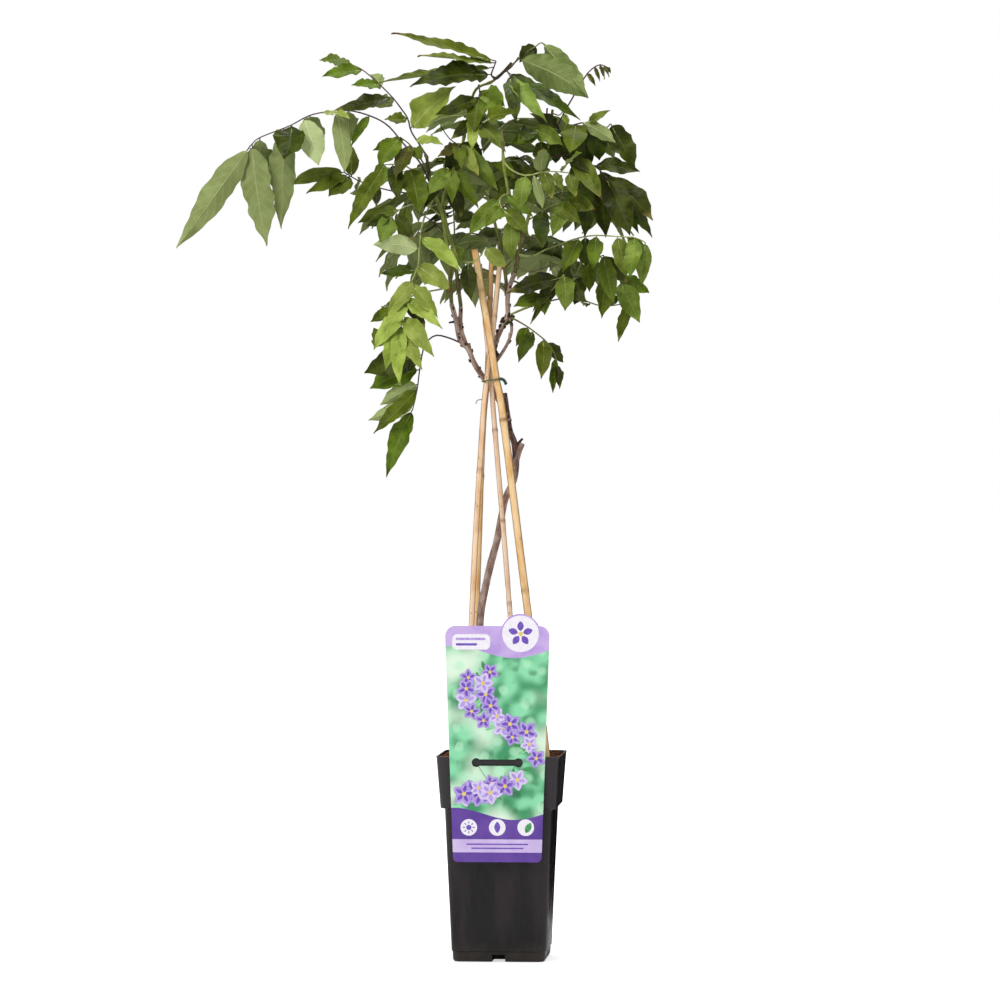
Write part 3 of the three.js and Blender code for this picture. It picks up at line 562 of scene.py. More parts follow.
class Shading(Graph):
    """A material in the making, around its Principled BSDF."""

    def __init__(self, name: str, **settings: object) -> None:
        """Starts the material.

        Args:
            name: the material's name.
            **settings: what the shader's inputs get, with _ for each space in a name.
        """
        self.made = bpy.data.materials.new(name)
        self.made.use_nodes = True
        super().__init__(self.made.node_tree)
        self.ended(**settings)

    def mottled(self, vector: object, scale: float, low: float, high: float, first: str, second: str
                ) -> Sequence[NodeSocket]:
        """Two colours in soft patches.

        Args:
            vector: the coordinates.
            scale: the patches' scale, in cells a metre.
            low: the noise below which the first colour shows.
            high: the noise above which the second colour shows.
            first: the first colour.
            second: the second colour.

        Returns:
            The sockets Color and Patch.
        """
        inputs = {"Vector": vector, "Scale": scale, "Low": low, "High": high}
        return self.group(mottle_group(), inputs | {"First": first, "Second": second})

    def specks(self, vector: object, scale: float, size: float, share: float) -> NodeSocket:
        """The mask of round specks of a size in a share of the cells."""
        inputs = {"Vector": vector, "Scale": scale, "Size": size, "Share": share}
        return self.group(specks_group(), inputs)["Mask"]

    def bump(self, height: object, strength: float, depth: float) -> NodeSocket:
        """The normal for a relief of a strength from 0 to 1 and a depth in millimetres."""
        inputs = {"Height": height, "Strength": strength, "Distance": depth * MM}
        return self.add("Bump", inputs).outputs[0]

    def ended(self, **settings: object) -> Material:
        """Sets more of the shader's inputs, named as before, and returns the material.

        Args:
            **settings: what the inputs get.

        Returns:
            The material.
        """
        inputs = {name.replace("_", " "): value for name, value in settings.items()}
        self.fill(self.tree.nodes["Principled BSDF"], inputs)
        return self.made


# ---------------- foliage


class Tone(Enum):
    """The tone of a leaflet's upper side, as the record's finish for it."""

    # the dark tone is partly the leaves' own deep green and partly painted shade, given to leaflets inside
    # the crown
    DARK = "leaf_dark"
    MID = "leaf_mid"
    BRIGHT = "leaf_bright"
    YELLOW = "leaf_yellow"
    BROWN = "leaf_brown"

    @property
    def slot(self) -> str:
        """The record's slot that a leaf of this tone belongs to."""
        return Tone.DARK.value if self is Tone.BROWN else self.value


class Facing(Enum):
    """Where a leaflet's upper side turns."""

    FRONT = (0, -1, 0.45)
    BACK = (0, 1, 0.35)
    UPWARD = (0, -0.3, 1)
    LEVEL = (0, -0.6, 0.8)
    OUTWARD = (0, 0, 0.8)

    def at(self, middle: Vector) -> Vector:
        """The direction for a leaflet with its middle at a point.

        Args:
            middle: the leaflet's middle, in the plant's frame.

        Returns:
            The direction, of any length.
        """
        if self is not Facing.OUTWARD:
            return Vector(self.value)
        out = Vector((middle.x - CROWN_AXIS.x, middle.y - CROWN_AXIS.y, 0)).normalized()
        return out * 0.7 + Vector(self.value)


class Stem(Enum):
    """The colour of a leaf's stalk."""

    OLIVE = "olive"
    RUSSET = "brown"
    GREEN = "green"


CROWN_AXIS = Vector((-15, 10, 0))
FRONT, BACK, UPWARD, LEVEL, OUTWARD = Facing
DARK, MID, BRIGHT, YELLOW, BROWN = Tone
OLIVE, RUSSET, GREEN = Stem


@dataclass(frozen=True)
class LeafFinish:
    """The two sides of a leaflet of one tone.

    Attributes:
        tone: the tone that it is for.
        deep: the colour of the upper side in its darker patches.
        light: the colour in its lighter patches.
        vein: the colour of the midrib above.
        under: the colour of the lower side.
        under_vein: the colour of the midrib below.
        gloss: the roughness of the upper side.
        margin: how far the margin goes towards the vein's colour.
        scorch: the share of leaflets with a brown tip.
        stray: how far the hue differs from leaflet to leaflet.
    """

    tone: Tone
    deep: str
    light: str
    vein: str
    under: str
    under_vein: str
    gloss: float = 0.5
    margin: float = 0.1
    scorch: float = 0.16
    stray: float = 0.036

    HUE, SATURATION = 0.488, 1.08  # the middle of the hue's shift, where 0.5 is none, and the gain

    def _aged(self, shade: Shading, colour: NodeSocket, blade: NodeSocket) -> NodeSocket:
        """Lays brown tips and a few spots over a colour.

        Args:
            shade: the material in the making.
            colour: the colour so far.
            blade: the leaflet's own coordinates.

        Returns:
            The new colour.
        """
        _, along, own = shade.parts(blade)
        run = shade.math("ADD", along, shade.times(shade.noise(shade.place(), 260), 0.16))
        scorched = shade.math("LESS_THAN", own, self.scorch)
        pale = shade.times(shade.step(run, 0.86, 1.02, 0, 0.42), scorched)
        yellowed = shade.mix(pale, colour, "b3a855")
        brown = shade.times(shade.step(run, 1.0, 1.05), scorched)
        browned = shade.mix(brown, yellowed, "6b4a22")
        spots = shade.specks(shade.place(), 170, 0.16, 0.035)
        return shade.mix(shade.times(spots, 0.75), browned, "4c3a1c")

    def top(self) -> Material:
        """The upper side: patches of two greens, sunk pale veins and a soft shine.

        Returns:
            The material.
        """
        shade = Shading(self.tone.value + "_top", Specular_IOR_Level=0.15)
        blade = shade.attribute(BLADE)["Vector"]
        veins = shade.group(veins_group(), {"Blade": blade})
        patches = shade.mottled(shade.place(), 75, 0.36, 0.66, self.deep, self.light)
        own = shade.parts(blade)[2]
        varied = shade.add("HueSaturation", {
            "Hue": shade.scaled(own, self.stray, self.HUE - self.stray / 2), "Saturation": self.SATURATION,
            "Value": shade.scaled(own, 0.45, 0.78), "Color": patches["Color"]}).outputs[0]
        for name, share in (("Side", 0.12), ("Midrib", 0.55), ("Margin", self.margin)):
            varied = shade.mix(shade.times(veins[name], share), varied, self.vein)
        rough = shade.scaled(patches["Patch"], 0.12, self.gloss - 0.06)
        return shade.ended(Base_Color=self._aged(shade, varied, blade), Roughness=rough,
                           Normal=shade.bump(veins["Relief"], 0.55, 0.5))

    def below(self) -> Material:
        """The lower side: paler and matt, with raised veins.

        Returns:
            The material.
        """
        shade = Shading(self.tone.value + "_under", Specular_IOR_Level=0.12, Roughness=0.62)
        blade = shade.attribute(BLADE)["Vector"]
        veins = shade.group(veins_group(), {"Blade": blade})
        patches = shade.mottled(shade.place(), 90, 0.3, 0.7, self.under, self.under_vein)
        soft = shade.mix(0.75, patches["Color"], self.under)
        sided = shade.mix(shade.times(veins["Side"], 0.4), soft, self.under_vein)
        ribbed = shade.mix(veins["Midrib"], sided, self.under_vein)
        raised = shade.math("SUBTRACT", 0.5, shade.times(veins["Relief"], 0.5))
        return shade.ended(Base_Color=self._aged(shade, ribbed, blade), Normal=shade.bump(raised, 0.5, 0.45))


LEAF_FINISHES = (
    # the dark tone is partly painted shade
    LeafFinish(DARK, "262f0a", "404f16", "68763b", "66753c", "97a468", gloss=0.44),
    LeafFinish(MID, "435416", "5d7024", "8d9f52", "7f8c52", "abb67e"),
    LeafFinish(BRIGHT, "536624", "70843d", "9dac60", "97a668", "bcc88c", stray=0.022),
    LeafFinish(YELLOW, "7a8f40", "99ad5a", "c0ca80", "a9b87e", "ccd6a0", 0.5, 0.25, 0.12, 0.012),
    LeafFinish(BROWN, "3f4418", "5b5a28", "7d7145", "6a6a3c", "949060", scorch=0.5),
)


@dataclass(frozen=True)
class StalkFinish:
    """A leaf stalk's skin, green or flushed brown.

    Attributes:
        stem: the colour that it is for.
        skin: the main colour.
        flush: the colour of its patches and of its swollen foot.
    """

    stem: Stem
    skin: str
    flush: str

    def made(self) -> Material:
        """The material, with fine lengthwise lines.

        Returns:
            The material.
        """
        shade = Shading(self.stem.value + "_stalk", Roughness=0.5)
        straight = shade.attribute(STRAIGHT)["Vector"]
        fibre = shade.group(streaks_group(), {"Vector": straight, "Scale": 1500.0})["Fibre"]
        patches = shade.mottled(shade.place(), 110, 0.42, 0.62, self.skin, self.flush)
        foot = shade.times(shade.attribute(MARK)["Fac"], 0.7)
        marked = shade.mix(foot, patches["Color"], self.flush)
        return shade.ended(Base_Color=marked, Normal=shade.bump(fibre, 0.4, 0.2))


STALK_FINISHES = (
    StalkFinish(OLIVE, "71793f", "5d4f35"),
    StalkFinish(RUSSET, "5a4038", "3c2c2b"),
    StalkFinish(GREEN, "9aa95a", "7f7a42"),
)


@dataclass(frozen=True)
class Leaflet:
    """One leaflet: a thin arched blade on a short stalk, with its midrib raised below.

    Attributes:
        foot: where its stalk springs from the leaf's own.
        tip: its tip.
        width: its greatest width.
        facing: where its upper side turns.
        seed: the seed of its draws.
        coarse: whether it is one of the many that lie behind, with fewer faces.
    """

    foot: Vector
    tip: Vector
    width: float
    facing: Facing
    seed: float
    coarse: bool = False

    START = 0.045  # the share of the length that its own stalk takes
    FULLEST = 0.39  # the share of the blade at which it is widest
    ARCH, LEVEL_ARCH, SWAY = 0.1, 0.02, 0.14  # shares of the length
    WAVE, RUFFLE = 0.12, 0.08  # shares of the width
    TWIST, ROLL = 50, 24  # degrees from one extreme to the other
    FOLD = 0.1  # how deep the midrib lies, as a share of the width
    THICK = 0.3  # the blade's own thickness
    SWING_AT, SWING_SPAN = 0.34, 0.32  # where the wave peaks, and half its length, as shares of the blade
    KEEL, FOLDS = 0.6, (0.4, 1.3)  # the least depth of the midrib, and how far its fold varies
    BULGE = 0.3  # how far a half stands up between the midrib and the margin
    TURNS, LONG_TURNS = (3.5, 5), 1.6  # the ruffle's waves along a margin, and a long one's gain
    CROWDED = 0.07  # how far the rows of faces draw towards both ends
    WELD = 0.01  # vertices as near as this at the ends become one
    RIB_RADII, RIB_SUNK = (0.42, 0.12), 0.4
    JOINT_RADII, JOINT_END = (0.6, 0.45), 0.03
    UNEVEN = 0.22  # how far its margins stray from the smooth outline
    RIB = 0.86  # the share of the blade that the midrib's ridge takes
    LONG = 60  # the length from which a leaflet is a long one
    COARSE, USUAL, FINE = (4, 8), (6, 18), (8, 36)  # columns and rows of faces

    @property
    def _long(self) -> bool:
        """Whether it is one of the long leaflets."""
        return (self.tip - self.foot).length > self.LONG

    def _axes(self) -> tuple[Vector, Vector, Vector, Vector]:
        """Its chord's direction, its upper side's, its edge's, and its middle line's pull point.

        Returns:
            The four vectors, each direction of length 1.
        """
        along = (self.tip - self.foot).normalized()
        middle = self.foot.lerp(self.tip, 0.5)
        face = self.facing.at(middle)
        face = (face - along * face.dot(along)).normalized()
        edge = along.cross(face)
        length = (self.tip - self.foot).length
        arch = self.LEVEL_ARCH if self.facing is LEVEL else self.ARCH
        sway = (draw(self.seed) - 0.5) * self.SWAY
        return along, face, edge, middle + face * 2 * arch * length + edge * sway * length

    def _frame(self, share: float) -> Matrix:
        """The blade's own frame at a share of its length: across, along and upper side.

        Args:
            share: the share of the leaflet's length.

        Returns:
            The frame's place in the plant's.
        """
        _, face, _, pull = self._axes()
        left = 1 - share
        centre = self.foot * left * left + pull * 2 * share * left + self.tip * share * share
        along = ((pull - self.foot) * left + (self.tip - pull) * share).normalized()
        upper = (face - along * face.dot(along)).normalized()
        roll = (draw(self.seed + 0.77) - 0.5) * self.ROLL
        turn = math.radians((draw(self.seed + 0.31) - 0.5) * self.TWIST * share + roll)
        upper = Matrix.Rotation(turn, 3, along) @ upper
        frame = Matrix((along.cross(upper), along, upper)).transposed().to_4x4()
        frame.translation = centre
        return frame

    def _half(self, share: float) -> float:
        """Half the blade's width at a share of the blade, with its drawn-out tip.

        Args:
            share: the share of the blade's length.

        Returns:
            Half the width in millimetres.
        """
        rise = self.FULLEST / (1 - self.FULLEST)
        peak = self.FULLEST**rise * (1 - self.FULLEST)
        outline = max(share, 0) ** rise * max(1 - share, 0) / peak
        return self.width / 2 * outline * (1 - 0.4 * smooth(0.78, 1, share))

    def _height(self, across: float, share: float) -> float:
        """How far the upper side stands above its line, with its keel, bulges and waves.

        Args:
            across: the share across, from -1 to 1.
            share: the share of the blade's length.

        Returns:
            The height in millimetres.
        """
        full = 2 * self._half(share) / self.width
        out = abs(across)
        side = 1 if across > 0 else -1
        sign = 1 if draw(self.seed + 0.5) >= 0.5 else -1
        swing = math.cos(math.pi * (share - self.SWING_AT) / self.SWING_SPAN)
        swing = sign * self.WAVE * self.width * full * swing
        fold = self.FOLD * self.width * lerp(*self.FOLDS, draw(self.seed + 0.12))
        keel = -(self.KEEL + fold) * min(1, 0.3 + full)
        bulge = self.BULGE * full * math.sin(math.pi * out)
        turns = lerp(*self.TURNS, draw(self.seed + side * 0.17)) * (self.LONG_TURNS if self._long else 1)
        ripple = math.sin(math.tau * (turns * share + draw(self.seed + side)))
        ruffle = self.RUFFLE * self.width * full * ripple * out**3
        return lerp(keel, swing, out**1.3) + bulge + ruffle

    def _on_top(self, across: float, share: float) -> Vector:
        """The point of the upper side at a share across and a share of the blade.

        Args:
            across: the share across, from -1 to 1.
            share: the share of the blade's length.

        Returns:
            The point, in the plant's frame.
        """
        frame = self._frame(lerp(self.START, 1, share))
        side = 1 if across > 0 else -1
        place = Vector((share * (9 if self._long else 6), side * 3, self.seed * 1.7))
        uneven = 1 + self.UNEVEN * noise.noise(place)
        return frame @ Vector((across * self._half(share) * uneven, 0, self._height(across, share)))

    def _blade(self, piece: Piece, top: int, under: int) -> None:
        """Adds the blade: a grid set out on the leaflet and thickened.

        Args:
            piece: the leaf's piece.
            top: the material number of the upper side.
            under: the material number of the lower side.
        """
        bm = piece.bm
        columns, rows = self.COARSE if self.coarse else self.FINE if self._long else self.USUAL
        grid = bmesh.ops.create_grid(bm, x_segments=columns, y_segments=rows, size=1)
        own = draw(self.seed + 0.83)
        ends = []
        for vert in grid["verts"]:
            across, step = vert.co.x, (vert.co.y + 1) / 2
            share = step - self.CROWDED * math.sin(math.tau * step)
            vert[piece.blade] = Vector((across, share, own))
            vert.co = self._on_top(across, share)
            if step < 0.01 or step > 0.99:
                ends.append(vert)
        kept = set(grid["verts"])
        bmesh.ops.remove_doubles(bm, verts=ends, dist=self.WELD)
        upper = {face for vert in kept if vert.is_valid for face in vert.link_faces}
        made = bmesh.ops.solidify(bm, geom=list(upper), thickness=self.THICK)["geom"]
        finish_faces(upper, top)
        finish_faces(set(made_of(made, BMFace)) - upper, under)

    def add_to(self, piece: Piece, top: int, under: int, stalk: int) -> None:
        """Adds the whole leaflet to a leaf.

        Args:
            piece: the leaf's piece.
            top: the material number of the upper side.
            under: the material number of the lower side.
            stalk: the material number of the stalk.
        """
        self._blade(piece, top, under)
        shares = [k / 5 * self.RIB for k in range(6)]
        sunk = [self._frame(lerp(self.START, 1, share)).col[2].xyz * -self.RIB_SUNK for share in shares]
        rib = Line(tuple(self._on_top(0, share) + down for share, down in zip(shares, sunk)))
        Tube(rib, lambda t: lerp(*self.RIB_RADII, t), 4, 6).add_to(piece, under)
        end = self.JOINT_END
        joint = Line((self.foot, self._frame(end).translation, self._on_top(0, end)))
        Tube(joint, lambda t: lerp(*self.JOINT_RADII, t), 5, 3, marked=lambda _: 1).add_to(piece, stalk)


class Row(NamedTuple):
    """A leaflet in a leaf's table: its place on the stalk, its tip, its width and how it lies."""

    place: float
    tip: Point
    width: float
    facing: Facing = FRONT
    tone: Tone | None = None


@dataclass(frozen=True)
class Leaf:
    """A compound leaf: a stalk that grows from a shoot and carries leaflets.

    Attributes:
        name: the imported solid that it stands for.
        carrier: the shoot or branch that it grows from.
        place: where on the carrier, counted in its points.
        tone: its leaflets' tone.
        stem: the stalk's colour.
        stalk: the stalk's points after its foot.
        rows: its leaflets.
        fill: more leaflets behind those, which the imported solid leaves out.
    """

    name: str
    carrier: str
    place: float
    tone: Tone
    stem: Stem
    stalk: tuple[Point, ...]
    rows: tuple[tuple, ...]
    fill: tuple[tuple, ...] = ()

    def route(self, foot: Vector) -> Line:
        """The stalk's line from its foot on the carrier."""
        return Line.through([foot, *self.stalk])

    def leaflets(self, route: Line, seed: int) -> list[Row]:
        """Its leaflets in order."""
        return [Row(*row) for row in (*self.rows, *self.fill)]


@dataclass(frozen=True)
class Spray:
    """A compound leaf whose leaflets are set by rule, in pairs with one at the end.

    Attributes:
        name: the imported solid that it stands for.
        carrier: the shoot or branch that it grows from.
        place: where on the carrier, counted in its points.
        tip: the stalk's tip.
        length: its end leaflet's length.
        tone: its leaflets' tone.
        stem: the stalk's colour.
    """

    name: str
    carrier: str
    place: float
    tip: Point
    length: float
    tone: Tone
    stem: Stem = OLIVE

    PAIRS = 5
    FIRST, SPREAD = 0.3, 0.64  # the first pair's share of the stalk, and the pairs' spread along it
    ASIDE, FORWARD = 0.85, 0.5  # how far a leaflet points out and on
    WIDTH = 0.34  # a leaflet's width as a share of its length
    RISE = 12  # how far the stalk arches
    DROOP, SIZES = (0.35, 0.85), (0.78, 1.04)  # between these, by a draw

    def route(self, foot: Vector) -> Line:
        """The stalk's line from its foot on the carrier."""
        tip = Vector(self.tip)
        return Line((foot, foot.lerp(tip, 0.5) + UP * self.RISE, tip))

    def _row(self, route: Line, place: float, side: int, size: float, turn: float) -> Row:
        """One leaflet at a place, to one side of the stalk or, with side 0, at its end.

        Args:
            route: the stalk's line.
            place: the leaflet's place on it.
            side: -1 or 1, or 0 at the end.
            size: the leaflet's length.
            turn: the seed of its draw.

        Returns:
            The leaflet's row.
        """
        along = route.tangent(place)
        reach = along.cross(UP).normalized() * side * self.ASIDE
        reach += along * (self.FORWARD if side else 1)
        reach.z -= lerp(*self.DROOP, draw(turn))
        tip = route.point(place) + reach.normalized() * size
        return Row(place, tuple(tip), size * self.WIDTH, OUTWARD)

    def leaflets(self, route: Line, seed: int) -> list[Row]:
        """Its leaflets, from the inside out.

        Args:
            route: the stalk's line.
            seed: the seed of the draws.

        Returns:
            The rows.
        """
        rows = []
        for pair in range(self.PAIRS):
            place = route.last * (self.FIRST + self.SPREAD * pair / (self.PAIRS - 1))
            for side in (-1, 1):
                turn = seed + pair * 2.3 + side
                size = self.length * lerp(*self.SIZES, draw(turn + 0.7))
                rows.append(self._row(route, place, side, size, turn))
        return [*rows, self._row(route, route.last, 0, self.length, seed + 50)]


@dataclass
class Foliage:
    """All the compound leaves, each a piece of its own on the shoot that carries it.

    Attributes:
        carriers: the lines that the leaves grow from, by name.
    """

    carriers: dict[str, Line]

    SHIFT = 0.22  # how much further in a leaflet springs than the one given the same place
    RADII = (0.8, 0.5)  # the stalk's radius at its foot and at its tip
    FOOT, FOOT_RUN = 1.35, 3.5  # the swollen foot's radius and length
    SIDES, GAP = 7, 5  # the sides of the stalk's section, and the distance between two of its rings

    def __post_init__(self) -> None:
        """Makes the leaves' finishes."""
        self.tops = {finish.tone: finish.top() for finish in LEAF_FINISHES}
        self.unders = {finish.tone: finish.below() for finish in LEAF_FINISHES}
        self.stalks = {finish.stem: finish.made() for finish in STALK_FINISHES}

    def _stalk(self, piece: Piece, route: Line, finish: int) -> None:
        """Adds a leaf's stalk with its swollen foot.

        Args:
            piece: the leaf's piece.
            route: the stalk's line.
            finish: the material number.
        """
        length = route.length()
        foot = self.FOOT_RUN / length

        def radius(share: float) -> float:
            """The stalk's radius at a share of its length."""
            swelling = (self.FOOT - self.RADII[0]) * smooth(foot * 1.6, foot * 0.4, share)
            return lerp(*self.RADII, share) + swelling

        steps = max(10, round(length / self.GAP))
        tube = Tube(route, radius, self.SIDES, steps, marked=lambda run: smooth(5, 2, run))
        tube.add_to(piece, finish)

    def leaf(self, leaf: Leaf | Spray, index: int) -> Object:
        """Builds one compound leaf.

        Args:
            leaf: the leaf or spray.
            index: its number among all the leaves, which seeds its draws.

        Returns:
            The finished piece.
        """
        route = leaf.route(self.carriers[leaf.carrier].point(leaf.place))
        seed = 31 * (index + 1)
        rows = leaf.leaflets(route, seed)
        tones = list(dict.fromkeys(row.tone or leaf.tone for row in rows))
        finishes = [self.tops[tone] for tone in tones] + [self.unders[tone] for tone in tones]
        stalk = len(finishes)
        finishes.append(self.stalks[leaf.stem])
        piece = Piece(leaf.name + "_blades", finishes, leaf.tone.slot, (leaf.name,))
        self._stalk(piece, route, stalk)
        coarse = isinstance(leaf, Spray)
        for k, row in enumerate(rows):
            earlier = sum(other.place == row.place for other in rows[:k])
            foot = route.point(row.place - self.SHIFT * earlier)
            tone = tones.index(row.tone or leaf.tone)
            blade = Leaflet(foot, Vector(row.tip), row.width, row.facing, seed + k, coarse)
            blade.add_to(piece, tone, len(tones) + tone, stalk)
        return piece.finished()

    def build(self) -> list[Object]:
        """Builds every leaf in the order of the tables."""
        return [self.leaf(leaf, index) for index, leaf in enumerate([*LEAVES, *SPRAYS])]


